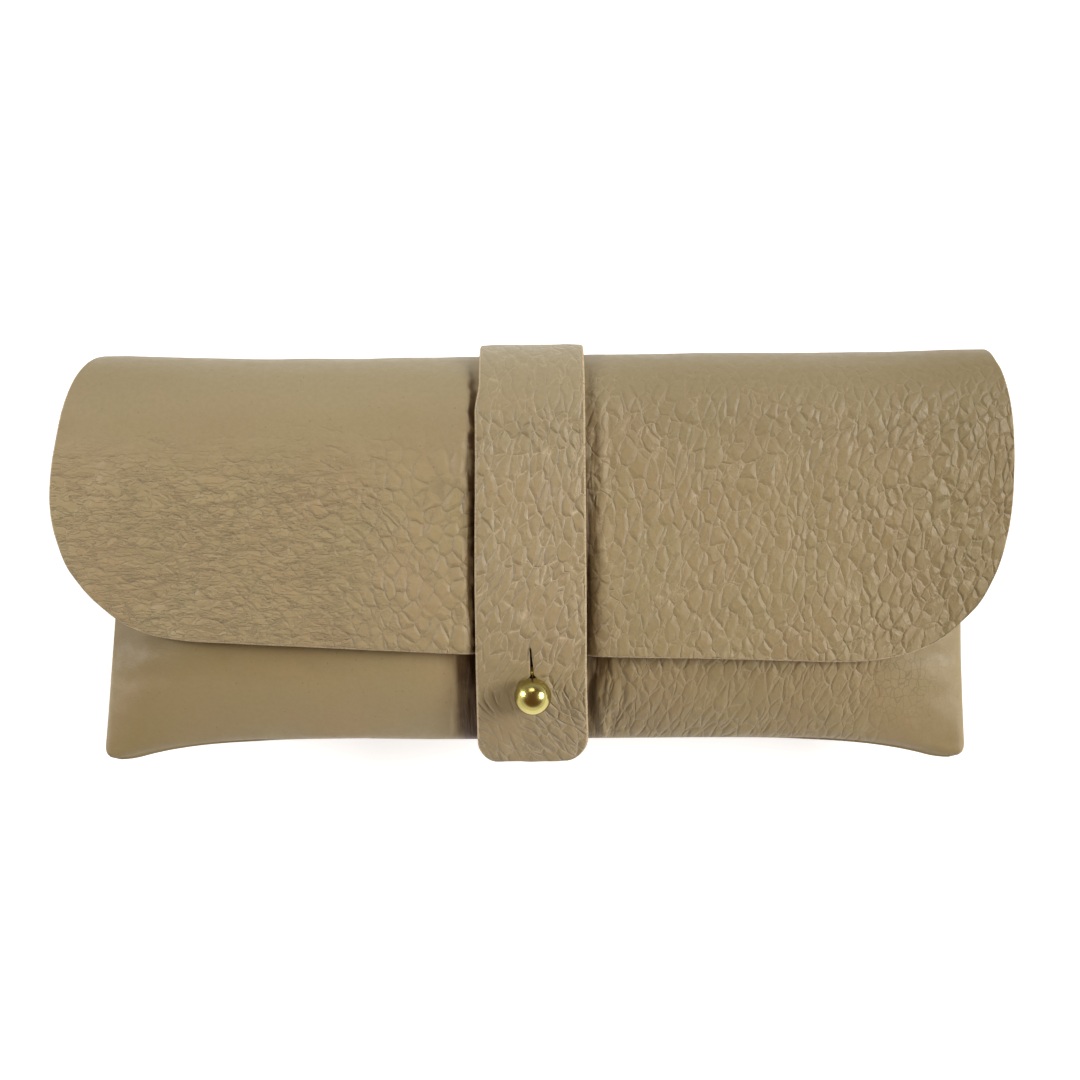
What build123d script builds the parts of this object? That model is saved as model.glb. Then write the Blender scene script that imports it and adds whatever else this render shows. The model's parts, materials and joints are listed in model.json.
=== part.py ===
from build123d import *
import os
from math import atan, cos, degrees, exp, radians, sin, sqrt, tan

# Soft leather glasses case, closed and lying on its back. Millimetres.
# X runs along the case, Y from the pouch bottom to the top fold, Z out of the front.
# Origin: middle of the case in X and Y, on the flat rear face of the strap.

os.makedirs("parts", exist_ok=True)

# ---------------------------------------------------------------- driving dimensions
flap_width = 176.0        # the flap at its widest
case_height = 77.0        # from the strap over the top fold to the strap's free end
leather = 1.6             # hide of the pouch and flap
strap_leather = 2.0       # hide of the strap
strap_width = 20.0
fold_radius = 13.0        # outer face of the hide where it rolls over the top, at mid length
layer_gap = 0.1           # between the strap and the hide that it lies on

pouch_width = 158.0       # between the side seams
bottom_middle_y = -34.7   # bottom seam at mid length
ear_drop = 4.0            # how much lower the two bottom corners hang
ear_radius = 1.5          # rounding of those corners
mouth_y = 12.0            # free edge of the front panel
seam_z = 14.0             # level of the side and bottom seams
seam_allowance = 3.0      # turned-in margin beside the seam
front_rise = 10.0         # front panel above its seam
side_power = 6            # how square the pouch's cross section is
bottom_power = 5          # the same, towards the bottom seam
strap_dent = 1.5          # depth of the dent that the strap pulls into the front
dent_half_width = 15.0
trough_half_width = 15.5  # of the hollow in the back that holds the strap
trough_power = 8          # how steep that hollow's sides are

flap_middle_y = 11.4      # where the flap is widest
flap_reach = 30.2         # from there down to the flap's lower edge
flap_power = 3.8          # squareness of the flap's lower corners
flap_top_inset = 6.5      # how much narrower the hide is at the top fold, each side
end_tuck = 4.5            # loss of half depth of the fold, tuck_reach from the middle
tuck_reach = 80.0
corner_droop = 4.5        # how far the flap's corners hang
droop_start_y = 20.0      # they begin to hang here
droop_run = 35.0          # and hang fully this much lower
flap_dent_run = 42.0      # length below the fold over which the flap's dent deepens
flap_bend = 0.006         # the flap's fall per square millimetre beyond strap_bend_y

hinge_turns = (30.0, 90.0, 150.0)   # degrees round the top fold
segment_gap = 0.4                   # degrees trimmed off each hide segment at a hinge
strap_notch = 23.5                  # degrees cut from each strap segment at a hinge
strap_hinge_y = 18.0
strap_hinge_notch = 20.5
strap_keyhole_y = -19.0             # where the stretching part of the strap begins
strap_sewn_y = -20.0                # lower end of the strap on the back
strap_bend_y = -5.0                 # where the strap starts to fall with the pouch
strap_bend = 0.0115                 # fall per square millimetre beyond that
strap_hinge_gap = 0.05              # trimmed off each strap segment at strap_hinge_y
sewn_corner_radius = 2.0
tip_corner_radius = 4.0

ball_diameter = 6.3
neck_diameter = 3.2
keyhole_diameter = 4.2
slit_length = 6.0
slit_width = 0.5
stud_base_y = -23.7
flange_diameter = 7.4
flange_height = 1.0
screw_diameter = 2.2
screw_head_diameter = 7.0
screw_head_height = 1.2
screw_hole_clearance = 0.15
screw_thread_gap = 0.03        # between the screw's shank and the stud's bore
screw_slot_width = 1.0
screw_end_gap = 0.6            # solid brass left above the stud's bore
screw_sink = 1.3               # sag of the curved patch over the flat screw head
seat_gap = 0.05                # between brass, patch and hide
ball_seat_gap = 0.15           # between the ball and the rim of the keyhole
patch_diameter = 16.0
patch_leather = 1.2

stitch_length = 2.6
stitch_width = 0.7
stitch_depth = 0.6
stitch_pitch = 3.4
box_stitch_width = 13.6
box_stitch_height = 20.4
box_stitch_low_y = -16.5
stitch_slot_margin = 0.1
seam_thread = 0.8
seam_thread_inset = 0.8        # from the pouch's outline to the thread

# ---------------------------------------------------------------- derived places
half_pouch = pouch_width / 2
half_flap = flap_width / 2
inner_radius = fold_radius - leather
strap_inner = fold_radius + layer_gap
strap_outer = strap_inner + strap_leather
fold_y = case_height / 2 - strap_outer
fold_z = strap_outer
tip_y = -case_height / 2
hinge_radius = fold_radius + layer_gap / 2
back_rise = seam_z - leather


def smooth_step(t):
    """0 up to t=0, 1 from t=1, level at both ends."""
    t = min(max(t, 0.0), 1.0)
    return t * t * (3 - 2 * t)


def half_depth(x):
    """Half depth of the top fold, less towards its ends."""
    return fold_radius - end_tuck * (x / tuck_reach) ** 4


def bottom_line(x):
    """Y of the bottom seam, which hangs lower at the corners."""
    return bottom_middle_y - ear_drop * abs(x / half_pouch) ** 5


def pillow(x, y):
    """1 in the middle of the pouch, 0 on its side and bottom seams."""
    across = 1 - abs(x / half_pouch) ** side_power
    down = max(mouth_y - y, 0) / (mouth_y - bottom_line(x))
    return across * (1 - down**bottom_power)


def cavity(x, y):
    """The same for the inside, one seam allowance smaller and rounder at the corners."""
    across = abs(x / (half_pouch - seam_allowance)) ** side_power
    down = max(mouth_y - y, 0) / (mouth_y - bottom_line(x) - seam_allowance)
    return 1 - across - down**bottom_power


def roll(y, radius):
    """Height profile of the quarter roll beyond fold_y."""
    return sqrt(1 - (max(y - fold_y, 0) / radius) ** 2)


def strap_trough(x):
    """Depth of the trough that holds the strap on the back."""
    return (strap_leather + layer_gap) * exp(-((x / trough_half_width) ** trough_power))


def dent(x):
    """Dent of the front under the strap, 0 to 1 across it."""
    return exp(-((x / dent_half_width) ** 4))


def front_outer(x, y):
    return seam_z + leather + (front_rise - strap_dent * dent(x)) * pillow(x, y)


def front_inner(x, y):
    return seam_z + (front_rise - strap_dent * dent(x)) * cavity(x, y)


def back_outer(x, y):
    pouch = back_rise - (back_rise - strap_trough(x)) * pillow(x, y)
    fold = fold_z - half_depth(x) * roll(y, fold_radius)
    share = smooth_step((y - mouth_y) / (fold_y - mouth_y))
    return pouch + (fold - pouch) * share


def back_inner(x, y):
    pouch = seam_z - (back_rise - strap_trough(x)) * cavity(x, y)
    fold = fold_z - (half_depth(x) - leather) * roll(y, inner_radius)
    share = smooth_step((y - mouth_y) / (fold_y - mouth_y))
    return pouch + (fold - pouch) * share


def flap_fall(x, y):
    """How far the flap lies below the top of the fold."""
    lower = smooth_step((fold_y - y) / flap_dent_run)
    droop = smooth_step((droop_start_y - y) / droop_run)
    corner = corner_droop * (x / half_flap) ** 4 * droop
    return flap_bend * max(strap_bend_y - y, 0) ** 2 + corner + strap_dent * dent(x) * lower


def flap_outer(x, y):
    return fold_z + half_depth(x) * roll(y, fold_radius) - flap_fall(x, y)


def flap_inner(x, y):
    return fold_z + (half_depth(x) - leather) * roll(y, inner_radius) - flap_fall(x, y)


def strap_under(y):
    """Z of the strap's inner face on the front."""
    return fold_z + strap_inner - strap_bend * max(strap_bend_y - y, 0) ** 2


# ---------------------------------------------------------------- shaping tools
def below(height, low_y, high_y, half_x=90.0):
    """Everything under a height function, as one tall block; stations crowd at the strap."""
    columns = 45
    rows = 25
    crowding = 0.65
    points = []
    for i in range(columns):
        share = -1 + 2 * i / (columns - 1)
        x = half_x * ((1 - crowding) * share + crowding * share**3)
        row = []
        for j in range(rows):
            y = low_y + (high_y - low_y) * j / (rows - 1)
            row.append((x, y, height(x, y)))
        points.append(row)
    top = Face.make_surface_from_array_of_points(points, tol=0.01, min_deg=3, max_deg=5)
    return extrude(top, amount=80, dir=(0, 0, -1))


def upright(outline, low_z, high_z):
    """A flat outline pulled up between two levels."""
    return extrude(Plane.XY.offset(low_z) * outline, amount=high_z - low_z)


def round_fold(turn, radius):
    """The point at an angle round the top fold, as (y, z)."""
    return fold_y + radius * sin(radians(turn)), fold_z - radius * cos(radians(turn))


def across_case(profile, half_x):
    """A closed profile of (y, z) points pulled along X."""
    return extrude(Plane.YZ * make_face(Polyline(*profile, close=True)), amount=half_x, both=True)


def wedge(turn_from, turn_to, half_x=95.0):
    """The part of space between two planes through the middle of the fold."""
    reach = 30.0
    corners = [(fold_y, fold_z), round_fold(turn_from, reach)]
    corners += [round_fold((turn_from + turn_to) / 2, reach * 1.2), round_fold(turn_to, reach)]
    return across_case(corners, half_x)


def bottom_outline(inset):
    """Outline of the pouch from side to side, open above the mouth."""
    reach = half_pouch - inset
    stations = [reach * i / 6 for i in range(-6, 7)]
    edge = Spline(*[(x, bottom_line(x) + inset) for x in stations])
    low = bottom_line(reach) + inset
    sides = Polyline((reach, low), (reach, 40), (-reach, 40), (-reach, low))
    face = make_face(edge + sides)
    corners = face.vertices().filter_by(lambda v: v.Y < 0)
    return fillet(corners, ear_radius)


def flap_half_width(y):
    """Half width of the flap between its widest line and the top fold."""
    share = (fold_y + fold_radius - y) / (fold_y + fold_radius - flap_middle_y)
    return half_flap - flap_top_inset * (1 - min(share, 1.0)) ** 3


def flap_outline():
    """Outline of the flap and the front half of the fold."""
    top = [fold_y + fold_radius + 1, fold_y + fold_radius, 34, 30, 24, 18]
    upper = [(flap_half_width(y), y) for y in top]
    lower = []
    for step in range(9):
        down = sin(radians(90 * step / 8))
        x = half_flap * (1 - down**flap_power) ** (1 / flap_power)
        lower.append((x, flap_middle_y - flap_reach * down))
    side = upper + lower[:-1]
    bottom = lower[-1]
    right = Spline(*side, bottom, tangents=((1, -0.6), (-1, 0)))
    left = Spline(bottom, *[(-x, y) for x, y in reversed(side)], tangents=((-1, 0), (1, 0.6)))
    closing = Line((-side[0][0], side[0][1]), side[0])
    return make_face(right + left + closing)


def strap_profile_band(turn_from, turn_to):
    """Closed profile of the strap round part of the fold."""
    middle = (turn_from + turn_to) / 2
    outer = [round_fold(t, strap_outer) for t in (turn_from, middle, turn_to)]
    inner = [round_fold(t, strap_inner) for t in (turn_to, middle, turn_from)]
    edges = ThreePointArc(*outer) + Line(outer[2], inner[0])
    edges += ThreePointArc(*inner) + Line(inner[2], outer[0])
    return make_face(edges)


def notch(turn, side, angle=strap_notch):
    """What a strap segment loses on one side of a hinge, so that it can bend back."""
    pivot_y, pivot_z = round_fold(turn, hinge_radius)
    reach = 5.0
    along = radians(turn)
    straight = (pivot_y + reach * sin(along), pivot_z - reach * cos(along))
    leaned = radians(turn + side * angle)
    tilted = (pivot_y + reach * sin(leaned), pivot_z - reach * cos(leaned))
    inward = (pivot_y - reach * sin(along), pivot_z + reach * cos(along))
    return across_case([inward, straight, tilted, (pivot_y, pivot_z)], strap_width)


def save(shape, name):
    """Write one sub-part under its own name."""
    shape.label = name
    export_step(shape, f"parts/{name}.step")
    print(name, "solids", len(shape.solids()), "volume", round(shape.volume, 1))


def one_solid(shape):
    """The largest solid of a shape."""
    return shape.solids().sort_by(SortBy.VOLUME)[-1]


# ---------------------------------------------------------------- hide of the pouch
low_y = bottom_middle_y - ear_drop - 4
high_y = fold_y + fold_radius * 0.64

panel_outline = bottom_outline(0)
thread_outline = bottom_outline(seam_thread_inset)
thread_outline -= bottom_outline(seam_thread_inset + seam_thread)
thread_ring = upright(thread_outline, seam_z - seam_thread / 2, seam_z + seam_thread / 2)
thread_room = Pos(0, (low_y + mouth_y) / 2, seam_z) * Box(
    pouch_width + 4, mouth_y - low_y - 2, 4
)
seam = thread_ring & thread_room

below_mouth = Pos(0, mouth_y - 50, 50) * Box(200, 100, 140)
front_block = upright(panel_outline, seam_z, 45) & below_mouth
front_panel = front_block & below(front_outer, low_y, mouth_y + 4)
front_panel = front_panel - below(front_inner, low_y, mouth_y + 4) - seam

rear_hinge, top_hinge, front_hinge = hinge_turns
before_hinge = wedge(-90, rear_hinge - segment_gap)
behind_fold = Pos(0, fold_y - 50, 0) * Box(220, 100, 100)
back_block = upright(panel_outline, -2, seam_z) & (before_hinge + behind_fold)
back_panel = back_block - below(back_outer, low_y, high_y)
back_panel = (back_panel & below(back_inner, low_y, high_y)) - seam

# ---------------------------------------------------------------- top fold and flap
def fold_core(radius, inset):
    """Solid roll of the top fold, thinner towards its ends."""
    sections = []
    half_length = 90
    intervals = 10
    for i in range(intervals + 1):
        x = -half_length + 2 * half_length * i / intervals
        ring = Ellipse(radius, half_depth(x) - inset)
        sections.append(Plane((x, fold_y, fold_z), x_dir=(0, 1, 0), z_dir=(1, 0, 0)) * ring)
    return loft(sections)


fold_shell = fold_core(fold_radius, 0) - fold_core(inner_radius, leather)
rear_reach = half_pouch + 0.2
apex_reach = half_flap - flap_top_inset
rear_hinge_y = round_fold(hinge_turns[0], fold_radius)[0]
rear_taper = (apex_reach - rear_reach) / (fold_y + fold_radius - rear_hinge_y)
widest = apex_reach + rear_taper
rear_outline = make_face(
    Polyline(
        (rear_reach, rear_hinge_y),
        (widest, fold_y + fold_radius + 1),
        (-widest, fold_y + fold_radius + 1),
        (-rear_reach, rear_hinge_y),
        (-rear_reach, fold_y),
        (rear_reach, fold_y),
        close=True,
    )
)
rear_block = upright(rear_outline, -1, 45)
flap_block = upright(flap_outline(), -1, 45)

top_fold_rear = fold_shell & wedge(rear_hinge + segment_gap, top_hinge - segment_gap)
top_fold_rear = top_fold_rear & rear_block
top_fold_front = fold_shell & wedge(top_hinge + segment_gap, front_hinge - segment_gap)
top_fold_front = top_fold_front & flap_block

flap_low_y = flap_middle_y - flap_reach - 3
after_hinge = wedge(front_hinge + segment_gap, 270)
before_fold = Pos(0, fold_y - 50, 30) * Box(220, 100, 60)
flap = flap_block & (after_hinge + before_fold) & below(flap_outer, flap_low_y, high_y)
flap = flap - below(flap_inner, flap_low_y, high_y)

# ---------------------------------------------------------------- strap
half_strap = strap_width / 2
strap_end_outline = fillet(
    (Pos(0, (strap_sewn_y + fold_y) / 2) * Rectangle(strap_width, fold_y - strap_sewn_y))
    .vertices().group_by(Axis.Y)[0],
    sewn_corner_radius,
)
strap_back = upright(strap_end_outline, 0, strap_leather)
strap_back += extrude(Plane.YZ * strap_profile_band(0, rear_hinge), half_strap, both=True)
strap_back -= notch(rear_hinge, -1)

strap_fold_rear = extrude(
    Plane.YZ * strap_profile_band(rear_hinge, top_hinge), half_strap, both=True
)
strap_fold_rear = strap_fold_rear - notch(rear_hinge, 1) - notch(top_hinge, -1)
strap_fold_front = extrude(
    Plane.YZ * strap_profile_band(top_hinge, front_hinge), half_strap, both=True
)
strap_fold_front = strap_fold_front - notch(top_hinge, 1) - notch(front_hinge, -1)

top_level = fold_z + strap_inner
lean = strap_leather * tan(radians(strap_hinge_notch))
strap_top = extrude(Plane.YZ * strap_profile_band(front_hinge, 180), half_strap, both=True)
strap_top -= notch(front_hinge, 1)
strap_top += across_case(
    [
        (fold_y, top_level),
        (fold_y, top_level + strap_leather),
        (strap_hinge_y + strap_hinge_gap + lean, top_level + strap_leather),
        (strap_hinge_y + strap_hinge_gap, top_level),
    ],
    half_strap,
)


def strap_run(from_y, to_y):
    """The strap on the front between two stations, before its ends are shaped."""
    stations = [from_y + (to_y - from_y) * i / 10 for i in range(11)]
    under = []
    over = []
    for y in stations:
        slope = 2 * strap_bend * max(strap_bend_y - y, 0)
        tilt = atan(slope)
        z = strap_under(y)
        under.append((y, z))
        over.append((y - strap_leather * sin(tilt), z + strap_leather * cos(tilt)))
    edges = Spline(*under) + Line(under[-1], over[-1])
    edges += Spline(*reversed(over)) + Line(over[0], under[0])
    return extrude(Plane.YZ * make_face(edges), half_strap, both=True)


strap_whole = strap_run(strap_hinge_y - strap_hinge_gap, tip_y - 1)
hinge_clearance = across_case(
    [
        (strap_hinge_y - strap_hinge_gap, top_level - 1),
        (strap_hinge_y - strap_hinge_gap, top_level),
        (strap_hinge_y - strap_hinge_gap - lean, top_level + strap_leather),
        (strap_hinge_y - strap_hinge_gap - lean, top_level + 5),
        (strap_hinge_y + 5, top_level + 5),
        (strap_hinge_y + 5, top_level - 1),
    ],
    strap_width,
)
strap_whole -= hinge_clearance
tip_outline = Pos(0, (tip_y + 40) / 2) * Rectangle(strap_width, 40 - tip_y)
tip_outline = fillet(tip_outline.vertices().group_by(Axis.Y)[0], tip_corner_radius)
strap_whole = strap_whole & upright(tip_outline, 0, 45)

# ---------------------------------------------------------------- stud
step = 0.01
base_z = front_outer(0, stud_base_y)
base_slope = (front_outer(0, stud_base_y + step) - front_outer(0, stud_base_y - step)) / (2 * step)
stud_tilt = degrees(atan(base_slope))
stud_place = Pos(0, stud_base_y, base_z) * Rot(X=stud_tilt)


def strap_distance():
    """From the stud's base to the strap's outer face, along the stud's axis."""
    reach = 0.0
    while True:
        y = stud_base_y - reach * sin(radians(stud_tilt))
        z = base_z + reach * cos(radians(stud_tilt))
        slope = 2 * strap_bend * max(strap_bend_y - y, 0)
        if z > strap_under(y) + strap_leather * sqrt(1 + slope**2):
            return reach
        reach += 0.01


strap_outside = strap_distance()
ball_radius = ball_diameter / 2
ball_seat = sqrt(ball_radius**2 - (keyhole_diameter / 2) ** 2) + ball_seat_gap
ball_height = strap_outside + ball_seat
stud_head = Pos(0, 0, seat_gap + flange_height / 2) * Cylinder(flange_diameter / 2, flange_height)
stud_head += Pos(0, 0, ball_height / 2) * Cylinder(neck_diameter / 2, ball_height - 0.1)
stud_head += Pos(0, 0, ball_height) * Sphere(ball_radius)
screw_length = ball_height - screw_end_gap
stud_head -= Pos(0, 0, screw_length / 2) * Cylinder(screw_diameter / 2, screw_length + 0.3)
stud_head = stud_place * stud_head

panel_hole = stud_place * Cylinder(screw_diameter / 2 + screw_hole_clearance, 16)
front_panel = one_solid(front_panel - panel_hole)


def patch_top(x, y):
    return front_inner(x, y) - seat_gap


def patch_bottom(x, y):
    return patch_top(x, y) - patch_leather


patch_block = stud_place * Cylinder(patch_diameter / 2, 20)
stud_patch = patch_block & below(patch_top, low_y, mouth_y, 20.0)
stud_patch = stud_patch - below(patch_bottom, low_y, mouth_y, 20.0) - panel_hole
stud_patch = one_solid(stud_patch)

screw_head_top = -(leather + patch_leather + screw_sink)
shank_length = screw_length - screw_head_top
stud_screw = Pos(0, 0, screw_head_top + shank_length / 2) * Cylinder(
    screw_diameter / 2 - screw_thread_gap, shank_length
)
stud_screw += Pos(0, 0, screw_head_top - screw_head_height / 2) * Cylinder(
    screw_head_diameter / 2, screw_head_height
)
stud_screw -= Pos(0, 0, screw_head_top - screw_head_height) * Box(
    screw_head_diameter, screw_slot_width, screw_head_height
)
stud_screw = stud_place * stud_screw

keyhole = stud_place * Cylinder(keyhole_diameter / 2, 30)
keyhole += stud_place * (Pos(0, slit_length / 2, 0) * Box(slit_width, slit_length, 30))
strap_whole = strap_whole - keyhole
upper_part = Pos(0, strap_keyhole_y + 50, 20) * Box(60, 100, 60)
strap_front = strap_whole & upper_part
strap_tip = strap_whole - upper_part

# ---------------------------------------------------------------- box stitch on the back
def stitch(x, y, turn, margin=0.0):
    """One stitch lying in the strap's rear face, or with a margin its slot."""
    bar = Box(stitch_length + 2 * margin, stitch_width + 2 * margin, stitch_depth + margin)
    return Pos(x, y, (stitch_depth + margin) / 2) * Rot(Z=turn) * bar


def box_stitch_places():
    """Middle and direction of each stitch round the sewn rectangle."""
    places = []
    across = round(box_stitch_width / stitch_pitch)
    upward = round(box_stitch_height / stitch_pitch)
    for i in range(across):
        x = -box_stitch_width / 2 + stitch_pitch * (i + 0.5)
        places.append((x, box_stitch_low_y, 0))
        places.append((x, box_stitch_low_y + box_stitch_height, 0))
    for i in range(upward):
        y = box_stitch_low_y + stitch_pitch * (i + 0.5)
        places.append((-box_stitch_width / 2, y, 90))
        places.append((box_stitch_width / 2, y, 90))
    return places


stitches = [stitch(*place) for place in box_stitch_places()]
for place in box_stitch_places():
    strap_back -= stitch(*place, margin=stitch_slot_margin)
strap_stitching = Compound(children=[s.solid() for s in stitches])

# ---------------------------------------------------------------- write the sub-parts
sub_parts = {
    "back_panel": one_solid(back_panel),
    "front_panel": front_panel,
    "seam_thread": seam,
    "top_fold_rear": one_solid(top_fold_rear),
    "top_fold_front": one_solid(top_fold_front),
    "flap": one_solid(flap),
    "strap_back": one_solid(strap_back),
    "strap_fold_rear": one_solid(strap_fold_rear),
    "strap_fold_front": one_solid(strap_fold_front),
    "strap_top": one_solid(strap_top),
    "strap_front": one_solid(strap_front),
    "strap_tip": one_solid(strap_tip),
    "strap_stitching": strap_stitching,
    "stud_head": one_solid(stud_head),
    "stud_screw": one_solid(stud_screw),
    "stud_patch": stud_patch,
}
for name, shape in sub_parts.items():
    save(shape, name)
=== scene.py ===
import json
from math import atan, cos, pi, radians, sin, sqrt

import bpy
import numpy as np
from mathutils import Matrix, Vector


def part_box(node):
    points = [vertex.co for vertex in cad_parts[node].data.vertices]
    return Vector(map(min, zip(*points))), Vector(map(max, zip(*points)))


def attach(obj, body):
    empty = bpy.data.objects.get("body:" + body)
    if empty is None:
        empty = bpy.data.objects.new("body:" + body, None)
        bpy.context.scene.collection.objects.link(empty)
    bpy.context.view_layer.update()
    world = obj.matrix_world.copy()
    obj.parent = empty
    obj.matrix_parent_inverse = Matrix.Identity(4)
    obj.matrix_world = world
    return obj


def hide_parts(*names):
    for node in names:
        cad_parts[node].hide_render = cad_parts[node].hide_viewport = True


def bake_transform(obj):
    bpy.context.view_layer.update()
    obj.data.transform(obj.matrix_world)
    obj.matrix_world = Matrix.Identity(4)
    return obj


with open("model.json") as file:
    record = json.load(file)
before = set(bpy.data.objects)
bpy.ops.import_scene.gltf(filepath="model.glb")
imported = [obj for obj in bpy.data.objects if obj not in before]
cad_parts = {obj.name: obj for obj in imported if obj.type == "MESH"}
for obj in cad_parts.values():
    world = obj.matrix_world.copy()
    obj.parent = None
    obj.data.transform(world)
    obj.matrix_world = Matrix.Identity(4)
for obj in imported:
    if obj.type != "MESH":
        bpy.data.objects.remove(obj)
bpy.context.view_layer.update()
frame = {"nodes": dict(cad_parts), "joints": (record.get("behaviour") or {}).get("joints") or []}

# Lengths below are millimetres in the case's own frame; MM turns them into metres.
MM = 0.001

# ---- the case's dimensions
joint_place = {j["name"]: [1000 * v for v in j["pos_m"]] for j in frame["joints"]}
low_hinge = joint_place["flap_open"]
top_hinge = joint_place["top_bend"]
LAYER_GAP = 0.1
HINGE_RADIUS = (top_hinge[1] - low_hinge[1]) / (1 - sin(radians(30)))
FOLD_Y = top_hinge[1] - HINGE_RADIUS
FOLD_Z = top_hinge[2]
FOLD_RADIUS = HINGE_RADIUS - LAYER_GAP / 2
LEATHER = 1.6
STRAP_LEATHER = 2.0
STRAP_INNER = FOLD_RADIUS + LAYER_GAP
STRAP_OUTER = STRAP_INNER + STRAP_LEATHER


def box_in_mm(name):
    return [np.array(corner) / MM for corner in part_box(name)]


panel_low, panel_high = box_in_mm("front_panel")
strap_low, strap_high = box_in_mm("strap_tip")
HALF_POUCH = panel_high[0]
MOUTH_Y = panel_high[1]
SEAM_Z = panel_low[2]
HALF_STRAP = strap_high[0]
TIP_Y = strap_low[1]
BOTTOM_MIDDLE_Y = -34.7
EAR_DROP = 4.1
EAR_RADIUS = 3.0
EAR_LEVEL = 4.5
BACK_INSET = 0.45
SEAM_OVERLAP = 1.2
FRONT_RISE = 10.0
BACK_RISE = SEAM_Z - LEATHER
SIDE_POWER = 6
BOTTOM_POWER = 5
STRAP_DENT = 1.5
END_TUCK = 2.4
HALF_FLAP = 88.0
CORNER_DROOP = 4.0
STRAP_CROWN = 0.25
STRAP_BEND_Y = -5.0
STRAP_BEND = 0.0115
FLAP_BEND = 0.006
STRAP_HINGE_Y = joint_place["strap_lift"][1]
STRAP_SEWN_Y = -20.0
STUD_BASE_Y = -23.7
BALL_RADIUS = 3.32
NECK_RADIUS = 1.6
KEYHOLE_RADIUS = 2.45
SLIT_LENGTH = 8.0
SLIT_WIDTH = 1.0


def smooth(t):
    """0 up to t=0, 1 from t=1, level at both ends."""
    t = np.clip(t, 0.0, 1.0)
    return t * t * (3 - 2 * t)


def mask(value, low, high):
    return smooth((value - low) / (high - low))


def rounding(radius, past):
    """How far a rounded corner draws an edge in, this far past the corner's start."""
    past = np.clip(past, 0, radius)
    return radius - np.sqrt(radius**2 - past**2)


def fan(share, low, high):
    """Shares from -1 to 1 spread over a width of low on the left and high on the right."""
    return np.where(share < 0, share * low, share * high)


def half_depth(x):
    return FOLD_RADIUS - END_TUCK * (x / 80) ** 4


def bottom_line(x):
    """Bottom seam: both corners hang lower and level out, and the left side runs a little higher."""
    middle = BOTTOM_MIDDLE_Y + 0.3 * smooth((-12 - x) / 22)
    power = np.where(x < 0, 6.8, 6.0)
    drop = EAR_DROP * np.where(x < 0, 1.05, 1.15)
    late = np.maximum(np.abs(x) - (HALF_POUCH - EAR_LEVEL), 0)
    level = late**2 / (2 * EAR_LEVEL) * drop * power / HALF_POUCH
    return middle - drop * np.abs(x / HALF_POUCH) ** power + level


def pouch_half_width(side, y):
    """Half width of the pouch, flaring a little to its lower corners."""
    if side < 0:
        return 77.65 + 1.95 * np.clip((-12 - y) / 24, 0, 1.1)
    return 79.65 + 0.45 * np.clip((-20 - y) / 17, 0, 1)


def pillow(x, y):
    """1 in the middle of the pouch, 0 along its seam."""
    half = np.where(x < 0, pouch_half_width(-1, y), pouch_half_width(1, y))
    depth = np.maximum(MOUTH_Y - y, 0)
    across = np.abs(x / half) ** SIDE_POWER
    down = (depth / (MOUTH_Y - bottom_line(x))) ** BOTTOM_POWER
    return np.clip(1 - across, 0, 1) * np.clip(1 - down, 0, 1)


def roll(y):
    """The fold's round, as a share of its depth."""
    return np.sqrt(np.maximum(1 - (np.maximum(y - FOLD_Y, 0) / FOLD_RADIUS) ** 2, 0.01))


def strap_trough(x):
    return (STRAP_LEATHER + LAYER_GAP) * bell(x, 15.5, 8)


def bell(distance, width, power=2):
    """1 at no distance, falling away over the width; a higher power makes it squarer."""
    return np.exp(-((distance / width) ** power))


def dent(x):
    return bell(x, 15, 4)


def shoulder(x):
    """The hide that swells up on both sides of the strap."""
    d = np.abs(x)
    return smooth((d - 10.2) / 3.4) * bell(np.maximum(d - 13, 0), 22)


# ---- repeatable noise
def value_noise(x, y, seed):
    """Smooth random field, -1 to 1, one feature per unit."""
    grid = np.random.RandomState(seed).rand(64, 64)
    n = len(grid)
    ix = np.floor(x).astype(int)
    iy = np.floor(y).astype(int)
    fx, fy = [f * f * f * (f * (f * 6 - 15) + 10) for f in (x - ix, y - iy)]
    a, b, c, d = [grid[(ix + i) % n, (iy + j) % n] for j in (0, 1) for i in (0, 1)]
    low = a + (b - a) * fx
    high = c + (d - c) * fx
    return 2 * (low + (high - low) * fy) - 1


def two_noises(x, y, seed, sizes, amounts):
    """Two fields at once: a broad one and a finer one, each with its own size and amount."""
    (wide, tall), (fine_wide, fine_tall) = sizes
    broad = amounts[0] * value_noise(x / wide, y / tall, seed)
    return broad + amounts[1] * value_noise(x / fine_wide, y / fine_tall, seed + 1)


def ragged_edge(t, broad, fine):
    """Uneven line beside the strap, from place to place along the hide."""
    return broad * value_noise(t / 1.5, 0 * t, 61) + fine * value_noise(t / 0.7, 0 * t, 62)


def soft_noise(x, y, seed):
    return (
        value_noise(x, y, seed)
        + 0.5 * value_noise(2.1 * x + 5, 2.1 * y + 9, seed + 1)
        + 0.25 * value_noise(4.3 * x + 1, 4.3 * y + 3, seed + 2)
    )


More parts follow.
